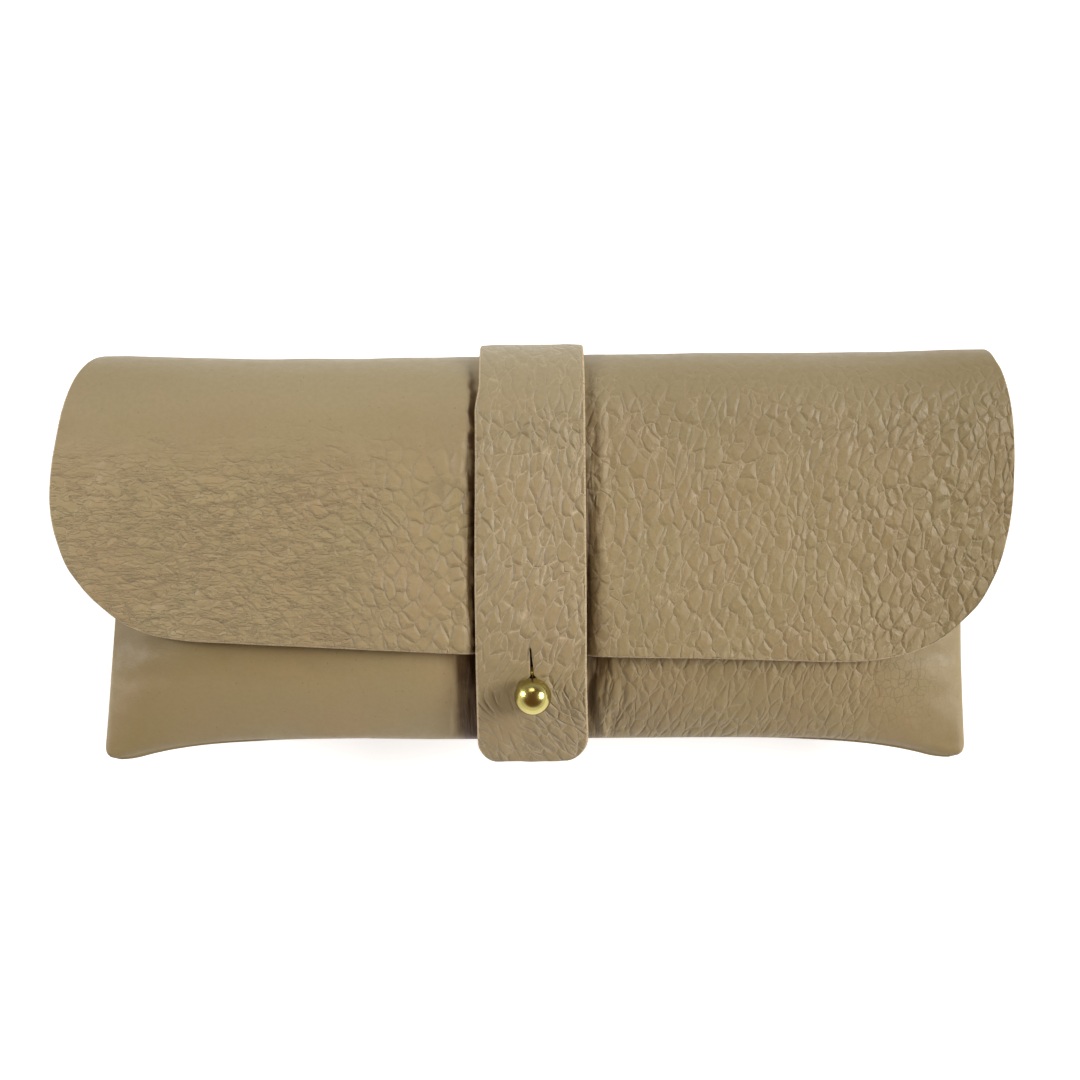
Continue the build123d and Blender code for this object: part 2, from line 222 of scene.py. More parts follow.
# ---- outlines
def smooth_curve(points, per_span=24):
    """A smooth curve through key points (centripetal Catmull-Rom), as many points."""
    p = np.array(points, float)
    p = np.concatenate([[2 * p[0] - p[1]], p, [2 * p[-1] - p[-2]]])
    out = []
    for a, b, c, d in zip(p[:-3], p[1:-2], p[2:-1], p[3:]):
        knots = [0.0]
        for u, v in ((a, b), (b, c), (c, d)):
            knots.append(knots[-1] + max(np.linalg.norm(v - u), 1e-6) ** 0.5)
        t0, t1, t2, t3 = knots
        t = np.linspace(t1, t2, per_span, endpoint=False)[:, None]
        ab = (t1 - t) / (t1 - t0) * a + (t - t0) / (t1 - t0) * b
        bc = (t2 - t) / (t2 - t1) * b + (t - t1) / (t2 - t1) * c
        cd = (t3 - t) / (t3 - t2) * c + (t - t2) / (t3 - t2) * d
        abc = (t2 - t) / (t2 - t0) * ab + (t - t0) / (t2 - t0) * bc
        bcd = (t3 - t) / (t3 - t1) * bc + (t - t1) / (t3 - t1) * cd
        out.append((t2 - t) / (t2 - t1) * abc + (t - t1) / (t2 - t1) * bcd)
    return np.concatenate(out + [p[-2:-1]])


# Half width of the hide against height on the flap as if it hung flat from the fold. The
# left lower corner is rounder than the right, and the left end of the fold is drawn in.
LEFT_OUTLINE = [
    (77.3, 74), (77.3, 58), (77.0, 50), (78.3, 44.6), (80.5, 40.9), (85.7, 25.0), (88.1, 9.8),
    (87.0, 2.2), (85.1, -2.2), (77.4, -10.7), (71.5, -13.9), (63.8, -15.4), (54.4, -15.9),
    (12.9, -18.0), (0, -18.4),
]
RIGHT_OUTLINE = [
    (79.7, 74), (79.8, 66), (82.0, 50), (84.4, 43.8), (85.8, 35.4), (86.4, 33.1), (88.0, 20.5),
    (86.8, 0.8), (83.2, -8.0), (79.1, -12.9), (73.4, -17.2), (63.5, -19.9), (30.1, -19.2),
    (0, -18.4),
]
LEFT_CORNER_X = 81.2
RIGHT_CORNER_X = 80.6
# How much the top fold rises above its middle height along the case.
TOP_LIFT = smooth_curve([
    (-90, 0.3), (-76, 0.6), (-70, 0.4), (-52, -0.12), (-17, -0.22), (-9, -0.05), (22, 0.15),
    (68, 0.25), (82, 0.65), (90, 0.5),
])


# ---- surfaces
# Each takes x and the run t along the hide in mm: t is 0 where the back starts to roll over
# the top, negative down the back, and grows over the roll and down the flap.
ROLL_END = pi * FOLD_RADIUS


def round_fold(turn, radius):
    """The point at an angle round the top fold."""
    return FOLD_Y + radius * np.sin(turn), FOLD_Z - radius * np.cos(turn)


def back_outer(x, y):
    pouch = BACK_RISE - (BACK_RISE - strap_trough(x)) * pillow(x, y)
    fold = FOLD_Z - half_depth(x) * roll(y)
    share = smooth((y - MOUTH_Y) / (FOLD_Y - MOUTH_Y))
    return pouch + (fold - pouch) * share


def soft_limit(x, start, room):
    """x itself up to start, then levelling off within the given room."""
    over = np.maximum(np.abs(x) - start, 0)
    return np.sign(x) * (np.minimum(np.abs(x), start) + room * np.tanh(over / room))


def flap_before_hug(x, y):
    lower = smooth((FOLD_Y - y) / 42)
    corner = CORNER_DROOP * (x / HALF_FLAP) ** 4 * smooth((20 - y) / 35)
    fall = FLAP_BEND * np.maximum(STRAP_BEND_Y - y, 0) ** 2 + corner
    fall = fall + STRAP_DENT * dent(x) * lower - 1.25 * shoulder(x) * lower
    return FOLD_Z + half_depth(x) * roll(y) - fall


def front_plain(x, y):
    return SEAM_Z + LEATHER + (FRONT_RISE - 2.2 * dent(x) + 1.3 * shoulder(x)) * pillow(x, y)


def flap_outer(x, y):
    """The flap's outer face; low on both sides it settles down onto the pouch."""
    plain = flap_before_hug(x, y)
    under = front_plain(soft_limit(x, 66, 7), np.maximum(y, -30))
    gap = plain - LEATHER - under - 0.35
    low = smooth((6 - y) / 22)
    share = np.where(x > 0, smooth((x - 22) / 26), 0.6 * smooth((-x - 26) / 30))
    room = 2.6 * np.tanh(np.maximum(gap, 0) / 2.6)
    return plain - room * low * share


def hide_surface(x, t):
    """Outer face of the main hide: back panel, roll and flap."""
    on_back = t < 0
    on_front = t > ROLL_END
    turn = np.clip(t / FOLD_RADIUS, 0, pi)
    y = FOLD_Y + (FOLD_RADIUS + np.interp(x, *TOP_LIFT.T)) * np.sin(turn)
    z = FOLD_Z - half_depth(x) * np.cos(turn)
    back_y = FOLD_Y + np.minimum(t, 0)
    front_y = FOLD_Y - np.maximum(t - ROLL_END, 0)
    y = np.where(on_back, back_y, np.where(on_front, front_y, y))
    z = np.where(on_back, back_outer(x, back_y), z)
    z = np.where(on_front, flap_outer(x, front_y), z)
    return np.stack([x, y, z], axis=1)


def front_surface(x, t):
    """Outer face of the front panel; t is minus y, so that it runs down the front."""
    return np.stack([x, -t, front_plain(x, -t)], axis=1)


STRAP_ROLL_END = pi * STRAP_OUTER


def strap_tilt(y):
    """How steeply the strap falls towards its end."""
    return np.arctan(2 * STRAP_BEND * np.maximum(STRAP_BEND_Y - y, 0))


def strap_surface(x, t):
    """Outer face of the strap, with t as on the hide but measured on the strap."""
    turn = np.clip(t / STRAP_OUTER, 0, pi)
    y, z = round_fold(turn, STRAP_OUTER)
    y = y + np.minimum(t, 0)
    front_y = FOLD_Y - np.maximum(t - STRAP_ROLL_END, 0)
    tilt = strap_tilt(front_y)
    under = FOLD_Z + STRAP_INNER - STRAP_BEND * np.maximum(STRAP_BEND_Y - front_y, 0) ** 2
    on_front = t > STRAP_ROLL_END
    y = np.where(on_front, front_y - STRAP_LEATHER * np.sin(tilt), y)
    z = np.where(on_front, under + STRAP_LEATHER * np.cos(tilt), z)
    return np.stack([x, y, z], axis=1)


def outward(surface, x, t, step=0.05):
    """Unit normals that point away from the case."""
    along_x = surface(x + step, t) - surface(x - step, t)
    along_t = surface(x, t + step) - surface(x, t - step)
    n = -np.cross(along_x, along_t)
    return n / np.linalg.norm(n, axis=1)[:, None]


def two_faces(surface, x, t, height, thickness):
    """Outer face of a sheet with its relief, and its inner face."""
    found = surface(x, t)
    n = outward(surface, x, t)
    return found + n * height[:, None], found - n * thickness


def new_piece(name, points, faces, rounded=None):
    """A piece from points in mm and faces, shaded smooth where rounded says so."""
    mesh = bpy.data.meshes.new(name)
    mesh.from_pydata((np.array(points) * MM).tolist(), [], faces)
    mesh.polygons.foreach_set("use_smooth", [True] * len(faces) if rounded is None else rounded)
    mesh.update()
    piece = bpy.data.objects.new(name, mesh)
    bpy.context.scene.collection.objects.link(piece)
    return piece


# ---- sheets of leather
BORDERS = {}
RIM = [(0.0, 0.32), (0.07, 0.12), (0.22, 0.0), (0.5, 0.0), (0.78, 0.0), (0.93, 0.12), (1.0, 0.32)]
OUTER_FACE, CUT_EDGE, INNER_FACE = 0, 1, 2


def grid_quads(columns, rows):
    """Quads of a columns by rows grid stored row by row, facing away from the case."""
    i, j = np.meshgrid(np.arange(columns - 1), np.arange(rows - 1))
    a = (j * columns + i).ravel()
    return np.stack([a, a + columns, a + columns + 1, a + 1], axis=1)


def note_borders(name, count, first, last):
    """Remember the vertices, outer then inner, on a piece's borders with its neighbours."""
    first = np.array(first)
    last = np.array(last)
    BORDERS[name] = {"first": [first, first + count], "last": [last, last + count]}


def thicken(name, grain, outer, inner, quads, joined, fields, rim=1.0, turned=None):
    """A closed piece of leather: outer face with its grain, rounded cut edge and inner face.

    joined marks border points that meet the next piece of the same hide: they keep their
    place, so that the two pieces share that border. turned marks border points in a seam,
    where the grain side wraps round and no cut edge shows.
    """
    n = len(outer)
    edges = np.concatenate([quads[:, [k, (k + 1) % 4]] for k in range(4)])
    keys = edges.min(axis=1).astype(np.int64) * n + edges.max(axis=1)
    _, first, count = np.unique(keys, return_index=True, return_counts=True)
    border = edges[first[count == 1]]
    used = np.unique(border)
    place = np.full(n, -1)
    place[used] = np.arange(len(used))

    a, b = border.T
    cap = joined[a] & joined[b]
    free = border[~cap]
    normal = outer - inner
    normal /= np.linalg.norm(normal, axis=1)[:, None]
    away = np.zeros((n, 3))
    side = np.cross(outer[free[:, 1]] - outer[free[:, 0]], normal[free[:, 0]])
    side /= np.maximum(np.linalg.norm(side, axis=1), 1e-9)[:, None]
    np.add.at(away, free[:, 0], side)
    np.add.at(away, free[:, 1], side)
    length = np.linalg.norm(away, axis=1)
    away[length > 0] /= length[length > 0][:, None]

    top = outer[used]
    through = inner[used] - top
    draw_in = away[used] * np.broadcast_to(rim, n)[used][:, None]
    rings = [top + through * depth - draw_in * inset for depth, inset in RIM]
    outer[used] = rings[0]
    inner[used] = rings[-1]
    middle = rings[1:-1]
    points = np.concatenate([outer, inner] + middle)
    # The index of every border point on each ring round the edge, outer face first.
    levels = [2 * n + k * len(used) + place for k in range(len(middle))]
    levels = [np.arange(n)] + levels + [np.arange(n) + n]

    faces = [quads, quads[:, ::-1] + n]
    for upper, lower in zip(levels[:-1], levels[1:]):
        faces.append(np.stack([upper[b], upper[a], lower[a], lower[b]], axis=1))
    wall_kind = np.full(len(border), CUT_EDGE)
    if turned is not None:
        wall_kind[turned[a] & turned[b]] = OUTER_FACE
    walls = len(RIM) - 1
    kinds = np.concatenate([np.repeat([OUTER_FACE, INNER_FACE], len(quads))] + [wall_kind] * walls)
    caps = np.concatenate([np.zeros(2 * len(quads), bool)] + [cap] * walls)

    piece = new_piece(name, points, np.concatenate(faces).tolist(), ~caps)
    mesh = piece.data
    mesh.polygons.foreach_set("material_index", kinds.astype(np.int32))
    for field, values in fields.items():
        full = np.concatenate([values, values] + [values[used]] * len(middle))
        kind, key = ("FLOAT_VECTOR", "vector") if full.ndim == 2 else ("FLOAT", "value")
        attribute = mesh.attributes.new(field, kind, "POINT")
        attribute.data.foreach_set(key, full.astype(np.float32).ravel())
    mesh.update()
    for material in (grain, cut_side, flesh_side):
        mesh.materials.append(material)
    return piece


def resample(points, count):
    """A polyline resampled to evenly spaced points."""
    step = np.linalg.norm(np.diff(points, axis=0), axis=1)
    length = np.concatenate([[0], np.cumsum(step)])
    wanted = np.linspace(0, length[-1], count)
    return np.stack([np.interp(wanted, length, points[:, k]) for k in range(2)], axis=1)


def coons(bottom, top, left, right):
    """Grid of points between four border curves; rows run from bottom to top."""
    u = np.linspace(0, 1, len(bottom))[None, :, None]
    v = np.linspace(0, 1, len(left))[:, None, None]
    edges = (1 - v) * bottom[None] + v * top[None]
    edges = edges + (1 - u) * left[:, None] + u * right[:, None]
    corners = (1 - u) * (1 - v) * bottom[0] + u * (1 - v) * bottom[-1]
    corners = corners + (1 - u) * v * top[0] + u * v * top[-1]
    return edges - corners


# ---- outlines in (x, t)
TURN_60 = radians(60) * FOLD_RADIUS
TURN_120 = radians(120) * FOLD_RADIUS
APEX = ROLL_END / 2
FLAT_ZERO = ROLL_END + FOLD_Y
OUTLINE_SCALE = 0.9905
SPACING = 0.5
HIDE_COLUMNS = int(2 * HALF_FLAP / SPACING) // 2 * 2 + 1
HIDE_SHARES = np.linspace(-1, 1, HIDE_COLUMNS)


def side_curve(side):
    """The outline of the hide on one side as points (x, t)."""
    curve = smooth_curve(LEFT_OUTLINE if side < 0 else RIGHT_OUTLINE)
    return np.stack([side * curve[:, 0] * OUTLINE_SCALE, FLAT_ZERO - curve[:, 1]], axis=1)


SIDE_CURVES = {side: side_curve(side) for side in (-1, 1)}


def hide_half_width(side, t):
    """Half width of the hide over the roll, down to the flap's widest place."""
    curve = SIDE_CURVES[side]
    upper = curve[curve[:, 1] < FLAT_ZERO - 9]
    return np.interp(t, upper[:, 1], np.abs(upper[:, 0]))


def flap_grid():
    """Stations of the flap from the 120 degree line of the roll to its edge."""
    sides = []
    halves = []
    for side, corner in ((-1, LEFT_CORNER_X), (1, RIGHT_CORNER_X)):
        curve = SIDE_CURVES[side]
        below = np.argmax(curve[:, 1] > TURN_120)
        start = [[side * float(hide_half_width(side, TURN_120)), TURN_120]]
        curve = np.concatenate([start, curve[below:]])
        low = curve[:, 1] > FLAT_ZERO
        split = int(np.argmax(low & (np.abs(curve[:, 0]) < corner)))
        sides.append(curve[: split + 1][::-1])
        halves.append(curve[split:])
    bottom = np.concatenate([halves[0], halves[1][::-1][1:]])
    rows = int((ROLL_END + 36 - TURN_120) / SPACING)
    top_x = fan(HIDE_SHARES, -sides[0][-1, 0], sides[1][-1, 0])
    top = np.stack([top_x, np.full(HIDE_COLUMNS, TURN_120)], axis=1)
    left, right = [resample(s, rows) for s in sides]
    return coons(resample(bottom, HIDE_COLUMNS), top, left, right), rows


# ---- large relief, in mm
def hide_relief(x, t):
    """Slow unevenness of the main hide, and the folds that the strap pulls into it."""
    y = FOLD_Y - (t - ROLL_END)
    slow = 0.28 * soft_noise(x / 17, t / 15, 11) + 0.10 * soft_noise(x / 6, t / 7, 23)
    on_flap = smooth((t - ROLL_END + 6) / 12)
    beside = np.abs(x) - 10.4
    near = bell(beside - 1.5, 4.0) * (beside > -2)
    pull = near * on_flap * 0.30 * soft_noise(x / 1.6, t / 7, 41)
    left_band = mask(-x, 28, 44) * mask(86 + x, 6, 22) * mask(18 - y, 0, 10) * mask(y + 14, 0, 8)
    creases = left_band * 0.10 * value_noise(x / 9, (t + 0.16 * x) / 1.9, 71)
    left_of_strap = -x - 10.2 - ragged_edge(t, 0.3, 0.2)
    swell = smooth(left_of_strap / 0.9) * bell(np.maximum(-x - 11.2, 0), 5)
    right_swell = smooth((x - 10.15) / 1.2) * bell(np.maximum(x - 11.5, 0), 5)
    swell = 0.95 * (swell + 0.45 * right_swell) * smooth((t - APEX - 5) / 14)
    return slow * (0.35 + 0.65 * on_flap) + pull + creases + swell


def front_relief(x, t):
    slow = 0.30 * soft_noise(x / 16, t / 12, 5) + 0.08 * soft_noise(x / 5, t / 5, 15)
    beside = np.abs(x) - 10.2
    near = bell(beside - 1.8, 3.6) * (beside > -2.5)
    folds = soft_noise(x / 1.3, t / 9, 33)
    return slow + near * 0.55 * folds


def strap_relief(x, t):
    slow = 0.10 * soft_noise(x / 9, t / 12, 52)
    y = FOLD_Y - (t - STRAP_ROLL_END)
    below_stud = mask(-27 - y, 0, 5)
    creases = below_stud * 0.10 * value_noise((x - 0.9 * y) / 2.2, (x + y) / 8, 66)
    return slow + creases


# ---- shader nodes
class Wire:
    """One output of a node, which can be reckoned with like a number."""

    def __init__(self, socket):
        self.socket = socket
        self.tree = socket.id_data

    def maths(self, operation, other=0.0):
        return node(self.tree, "ShaderNodeMath", {0: self, 1: other}, operation=operation)

    def __add__(self, other):
        return self.maths("ADD", other)

    def __sub__(self, other):
        return self.maths("SUBTRACT", other)

    def __mul__(self, other):
        return self.maths("MULTIPLY", other)


def node(tree, kind, inputs, output=0, **settings):
    """Add a node, with wires or plain values on its inputs, and give one of its outputs."""
    made = tree.nodes.new(kind)
    for key, value in settings.items():
        setattr(made, key, value)
    for key, value in inputs.items():
        if isinstance(value, Wire):
            tree.links.new(value.socket, made.inputs[key])
        else:
            made.inputs[key].default_value = value
    return Wire(made.outputs[output]) if made.outputs else None


def span(value, low, high, to_low=0.0, to_high=1.0):
    """A value spread from one range to another, smoothed and held at its ends."""
    inputs = {0: value, 1: low, 2: high, 3: to_low, 4: to_high}
    return node(value.tree, "ShaderNodeMapRange", inputs, interpolation_type="SMOOTHSTEP")


def vectors(operation, a, b):
    return node(a.tree, "ShaderNodeVectorMath", {0: a, 1: b}, operation=operation)


def scaled(vector, x, y):
    return vectors("MULTIPLY", vector, (x, y, 0.0))


def noise(place, scale, detail=2.0, rough=0.5, output=0):
    inputs = {"Vector": place, "Scale": scale, "Detail": detail, "Roughness": rough}
    return node(place.tree, "ShaderNodeTexNoise", inputs, output)


def cells(place, scale, feature="DISTANCE_TO_EDGE"):
    inputs = {"Vector": place, "Scale": scale, "Randomness": 0.68}
    return node(place.tree, "ShaderNodeTexVoronoi", inputs, "Distance", feature=feature)


def valley(distance, width):
    """1 on a crease and falling away on both sides of it."""
    return distance.maths("DIVIDE", -width).maths("EXPONENT")


def bump(height, distance):
    inputs = {"Height": height, "Distance": distance, "Strength": 1.0}
    return node(height.tree, "ShaderNodeBump", inputs)


def read(tree, name, output="Fac"):
    """A value that the mesh holds for each point."""
    return node(tree, "ShaderNodeAttribute", {}, output, attribute_name=name)


def mix_colour(share, a, b):
    return node(share.tree, "ShaderNodeMix", {0: share, 6: a, 7: b}, 2, data_type="RGBA")


# ---- materials
def new_material(name):
    material = bpy.data.materials.new(name)
    material.use_nodes = True
    material.node_tree.nodes.clear()
    return material, material.node_tree


def finish_material(material, inputs):
    shader = node(material.node_tree, "ShaderNodeBsdfPrincipled", inputs)
    node(material.node_tree, "ShaderNodeOutputMaterial", {"Surface": shader})
    return material


# Painted cool sheen and shade: the hide turns darker and greyer towards the top fold.
TOP_SHEEN_AND_SHADE = (0.222, 0.191, 0.111, 1)
# Colour that painted shade darkens the leather towards.
SHADE_TINT = (0.100, 0.066, 0.010, 1)
# Colour of the painted shadow in the gaps beside the strap.
PAINTED_GAP_SHADOW_TINT = (0.058, 0.024, 0.004, 1)


def grain_leather(name, tan, olive, pale, dark):
    """Grain side of the hide: pebbles, creases, pores and mottling, with painted highlights and shade
    along the creases and painted shade and shadow where the mesh asks for them.
    """
    material, tree = new_material(name)
    place = read(tree, "hide", "Vector")
    grain = read(tree, "grain", "Vector")
    pinch = read(tree, "pinch")
    crinkled = read(tree, "crinkle")
    glint = read(tree, "glint")

    # Pebbles, a few smaller ones inside them, and the creases between them.
    shown = read(tree, "pebble") * span(noise(place, 0.17), 0.30, 0.60, 0.55, 1.0)
    bend = vectors("SUBTRACT", noise(place, 0.55, output=1), (0.5, 0.5, 0.5))
    flat = scaled(vectors("ADD", grain, scaled(bend, 0.36, 0.36)), 1.0, 1.0)
    edge = cells(flat, 1.0)
    worn = span(noise(place, 0.7), 0.34, 0.56, 0.45, 1.0)
    crease = valley(edge, 0.095) * worn
    inner_edge = cells(vectors("ADD", scaled(flat, 1.9, 1.7), (3.7, 1.9, 0.0)), 1.0)
    inner_shown = span(noise(place, 0.4), 0.40, 0.60) * shown
    inner_crease = valley(inner_edge, 0.12) * inner_shown

    # Two families of longer creases that cross each other.
    wear = noise(place, 0.5)
    counted = node(tree, "ShaderNodeSeparateXYZ", {0: grain}, 2)
    creases = []
    marks = []
    for line, amount, shift in ((counted, "long", 0.0), (read(tree, "cross"), "across", 40.0)):
        distance = (line + wear * 0.7).maths("PINGPONG", 0.5)
        moved = vectors("ADD", place, (shift, shift, 0.0))
        present = span(noise(moved, 0.24), 0.42, 0.58) * read(tree, amount)
        creases.append(valley(distance, 0.07) * present)
        marks.append(valley(distance, 0.022) * present)
    line_crease = creases[0].maths("MAXIMUM", creases[1])
    line_mark = marks[0].maths("MAXIMUM", marks[1])

    # Wrinkles that wander, long and short.
    wave = (noise(scaled(place, 0.11, 0.42), 1.0, 4.0, 0.60) - 0.5).maths("ABSOLUTE")
    short = (noise(scaled(place, 0.38, 0.7), 1.0) - 0.5).maths("ABSOLUTE")
    wrinkle = valley(wave, 0.011).maths("MAXIMUM", valley(short, 0.013)) * crinkled

    tooth = noise(place, 2.2, 4.0, 0.6)
    fine = noise(place, 7.0, 2.0, 0.6)
    pore = span(cells(place, 0.55, "F1"), 0.06, 0.11, 1.0, 0.0)
    streak = noise(scaled(place, 1.9, 0.16), 1.0, 4.0, 0.6)

    relief = (crease * -0.165 + span(edge, 0.0, 0.30) * 0.155) * shown
    for height, share in (
        (inner_crease, -0.045),
        (line_crease, -0.15),
        (wrinkle, -0.115),
        (tooth, 0.035),
        (fine, 0.010),
        (pore, -0.012),
        (streak * pinch, 0.7),
    ):
        relief = relief + height * share

    # Colours, each laid over the one before.
    height = node(tree, "ShaderNodeSeparateXYZ", {0: place}, 1)
    # Thin lines along the creases: painted highlights where glint is high, painted shade where it is
    # low.
    thin = valley(edge, 0.022) * shown * worn + line_mark
    bright = thin * glint * span(wear, 0.3, 0.6, 0.35, 1.0)
    deep = thin * (glint * -1.0 + 1.0)
    crack_place = vectors("ADD", scaled(place, 1.0, 0.8), scaled(bend, 1.1, 1.1))
    crack = valley(cells(crack_place, 0.75), 0.028) * read(tree, "crackle")
    colour = mix_colour(span(noise(place, 0.07, 3.0, 0.6), 0.34, 0.66), tan, olive)
    for share, tint in (
        # Painted cool sheen and shade towards the top fold.
        (span(height, 8, 42, 0.0, 0.85), TOP_SHEEN_AND_SHADE),
        (span(noise(place, 1.1, 3.0, 0.6), 0.3, 0.7, 0.0, 0.10), pale),
        (span(fine, 0.30, 0.70, 0.10, 0.0), dark),
        # Painted shade in the crease valleys.
        (valley(edge, 0.11) * shown * worn * 0.18, dark),
        # Painted highlights along the crease walls.
        (bright * 0.82, pale),
        # Painted shade along the creases.
        (deep * 0.34, dark),
        # Painted shade in the long wrinkles.
        (valley(wave, 0.005) * crinkled * 0.26, dark),
        (crack * 0.7, dark),
        # Painted shade in the folds that the strap pinches, streaked along them.
        (span(streak, 0.62, 0.36) * pinch * 0.85, dark),
        (pore * 0.28, dark),
        # Painted shade, as much as the mesh's shade value.
        (read(tree, "shade"), SHADE_TINT),
        # Painted shadow in the gaps beside the strap.
        (read(tree, "painted_gap_shadow"), PAINTED_GAP_SHADOW_TINT),
    ):
        colour = mix_colour(share, colour, tint)

    return finish_material(material, {
        "Base Color": colour,
        "Roughness": span(wear, 0.25, 0.75, 0.60, 0.47),
        "Normal": bump(relief, MM),
        "Specular IOR Level": 0.38,
        "Sheen Weight": 0.04,
        "Sheen Roughness": 0.5,
    })


def suede(name, base, dark, pale):
    """Flesh side of the hide: short matted nap."""
    material, tree = new_material(name)
    place = read(tree, "hide", "Vector")
    nap = noise(scaled(place, 1.0, 0.7), 3.4, 5.0, 0.7)
    colour = mix_colour(span(noise(place, 0.16, 3.0, 0.6), 0.35, 0.65), base, pale)
    return finish_material(material, {
        "Base Color": mix_colour(span(nap, 0.3, 0.62, 0.55, 0.0), colour, dark),
        "Roughness": 0.92,
        "Normal": bump(nap, 0.14 * MM),
        "Specular IOR Level": 0.12,
        "Sheen Weight": 0.35,
        "Sheen Roughness": 0.6,
    })


def cut_leather(name, base, dark, pale):
    """Raw cut edge: pale fibres in fine layers."""
    material, tree = new_material(name)
    fibre = noise(read(tree, "hide", "Vector"), 2.6, 4.0, 0.7)
    colour = mix_colour(span(fibre, 0.35, 0.66), base, pale)
    return finish_material(material, {
        "Base Color": mix_colour(span(fibre, 0.45, 0.25, 0.0, 0.6), colour, dark),
        "Roughness": 0.8,
        "Normal": bump(fibre, 0.10 * MM),
        "Specular IOR Level": 0.25,
    })


def object_place(tree):
    return node(tree, "ShaderNodeTexCoord", {}, "Object")


def polished_brass(name):
    """Turned and polished brass with faint handling marks."""
    material, tree = new_material(name)
    place = object_place(tree)
    smear = noise(place, 260.0)
    return finish_material(material, {
        "Base Color": mix_colour(span(smear, 0.3, 0.7), (0.50, 0.43, 0.15, 1), (0.38, 0.32, 0.10, 1)),
        "Roughness": span(smear, 0.3, 0.7, 0.14, 0.27),
        "Normal": bump(noise(place, 900.0, 4.0, 0.6), 0.004 * MM),
        "Metallic": 1.0,
    })


def waxed_thread(name):
    """Twisted waxed thread."""
    material, tree = new_material(name)
    inputs = {"Vector": object_place(tree), "Scale": 900.0, "Distortion": 1.5, "Detail": 2.0}
    twist = node(
        tree, "ShaderNodeTexWave", inputs, "Fac", wave_type="BANDS", bands_direction="DIAGONAL"
    )
    return finish_material(material, {
        "Base Color": mix_colour(twist, (0.20, 0.15, 0.08, 1), (0.33, 0.26, 0.15, 1)),
        "Roughness": 0.55,
        "Normal": bump(twist, 0.05 * MM),
    })


def pale_floor(name):
    material, tree = new_material(name)
    tooth = noise(object_place(tree), 60.0, 3.0)
    return finish_material(material, {
        "Base Color": mix_colour(tooth, (0.56, 0.56, 0.56, 1), (0.60, 0.60, 0.60, 1)),
        "Roughness": 0.9,
        "Specular IOR Level": 0.1,
        "Emission Color": (1, 1, 1, 1),
        "Emission Strength": 0.72,
    })


hide_grain = grain_leather(
    "hide_grain",
    (0.283, 0.213, 0.107, 1),
    (0.275, 0.218, 0.106, 1),
    (0.42, 0.345, 0.215, 1),
    (0.075, 0.052, 0.024, 1),
)
strap_grain = grain_leather(
    "strap_grain",
    (0.273, 0.208, 0.106, 1),
    (0.266, 0.210, 0.105, 1),
    (0.44, 0.36, 0.23, 1),
    (0.080, 0.056, 0.027, 1),
)
flesh_side = suede(
    "flesh_side", (0.28, 0.20, 0.105, 1), (0.13, 0.088, 0.044, 1), (0.36, 0.27, 0.155, 1)
)
cut_side = cut_leather(
    "cut_side", (0.29, 0.22, 0.13, 1), (0.10, 0.068, 0.035, 1), (0.40, 0.32, 0.20, 1)
)
brass = polished_brass("stud_brass")
thread = waxed_thread("sewing_thread")


# ---- build the hide
LEFT_GRAIN_X = -14


def stations(share, row_ts, left, right):
    """Grid stations with straight rows between two side curves."""
    xs = [fan(share, low, high) for low, high in zip(left, right)]
    return np.concatenate(xs), np.repeat(row_ts, len(share))


def edge_mask(columns, rows, first_row=False, last_row=False):
    """Which points of a grid lie on an end row that meets a neighbour."""
    joined = np.zeros((rows, columns), bool)
    joined[0] = first_row
    joined[-1] = last_row
    return joined.ravel()


def running_sum(knots, sizes, x):
    """Count of grain cells up to x, where the cell size varies along x."""
    fine = np.linspace(knots[0], knots[-1], 800)
    density = 1 / np.interp(fine, knots, sizes)
    count = np.concatenate([[0], np.cumsum((density[1:] + density[:-1]) / 2 * np.diff(fine))])
    return np.interp(x, fine, count - np.interp(0, fine, count))


def diamonds(u, v):
    """Cell counts turned an eighth of a turn, so that a square lattice becomes a diamond mesh."""
    return (u + v) * sqrt(0.5), (v - u) * sqrt(0.5)


def hide_grain_place(x, s, shift=0.0):
    """Grain coordinates, one pebble per unit: lying down on the left, upright on the right.

    The third number counts the long creases, level on the left and leaning on the right.
    """
    u = running_sum([-95, -45, -20, 15, 95], [3.5, 3.0, 2.3, 2.0, 2.2], x)
    u = u - 0.10 * s * smooth((x + 20) / 50)
    tall = np.interp(x, [-95, -50, -15, 20, 95], [2.1, 2.4, 3.0, 3.6, 2.9])
    v = (s - 8) / tall + 0.055 * np.minimum(x + 20, 0)
    u = u + two_noises(x, s, 81, ((11, 13), (4.2, 5)), (0.70, 0.15))
    v = v + two_noises(x, s, 83, ((12, 10), (4.5, 4)), (0.65, 0.12))
    a, b = diamonds(u, v)
    level = (s + 0.16 * x) / 3.5 + 0.5 * value_noise(x / 14, s / 9, 85)
    leaning = (x - 0.42 * s) / 3.6 + 0.6 * value_noise(x / 10, s / 14, 86)
    return np.stack([a + shift, b + shift, np.where(x < LEFT_GRAIN_X, level, leaning)], axis=1)


def cross_creases(x, s):
    """Count of the creases that cross the long ones."""
    left = (x - 0.25 * s) / 2.7 + 0.6 * value_noise(x / 8, s / 5, 87)
    right = (x + 0.40 * s) / 4.2 + 0.6 * value_noise(x / 9, s / 12, 88)
    return np.where(x < LEFT_GRAIN_X, left, right)


def flat_place(x, y):
    """Where a point lies on the flat leather, for the material."""
    return np.stack([x, y, np.zeros(len(x))], axis=1)


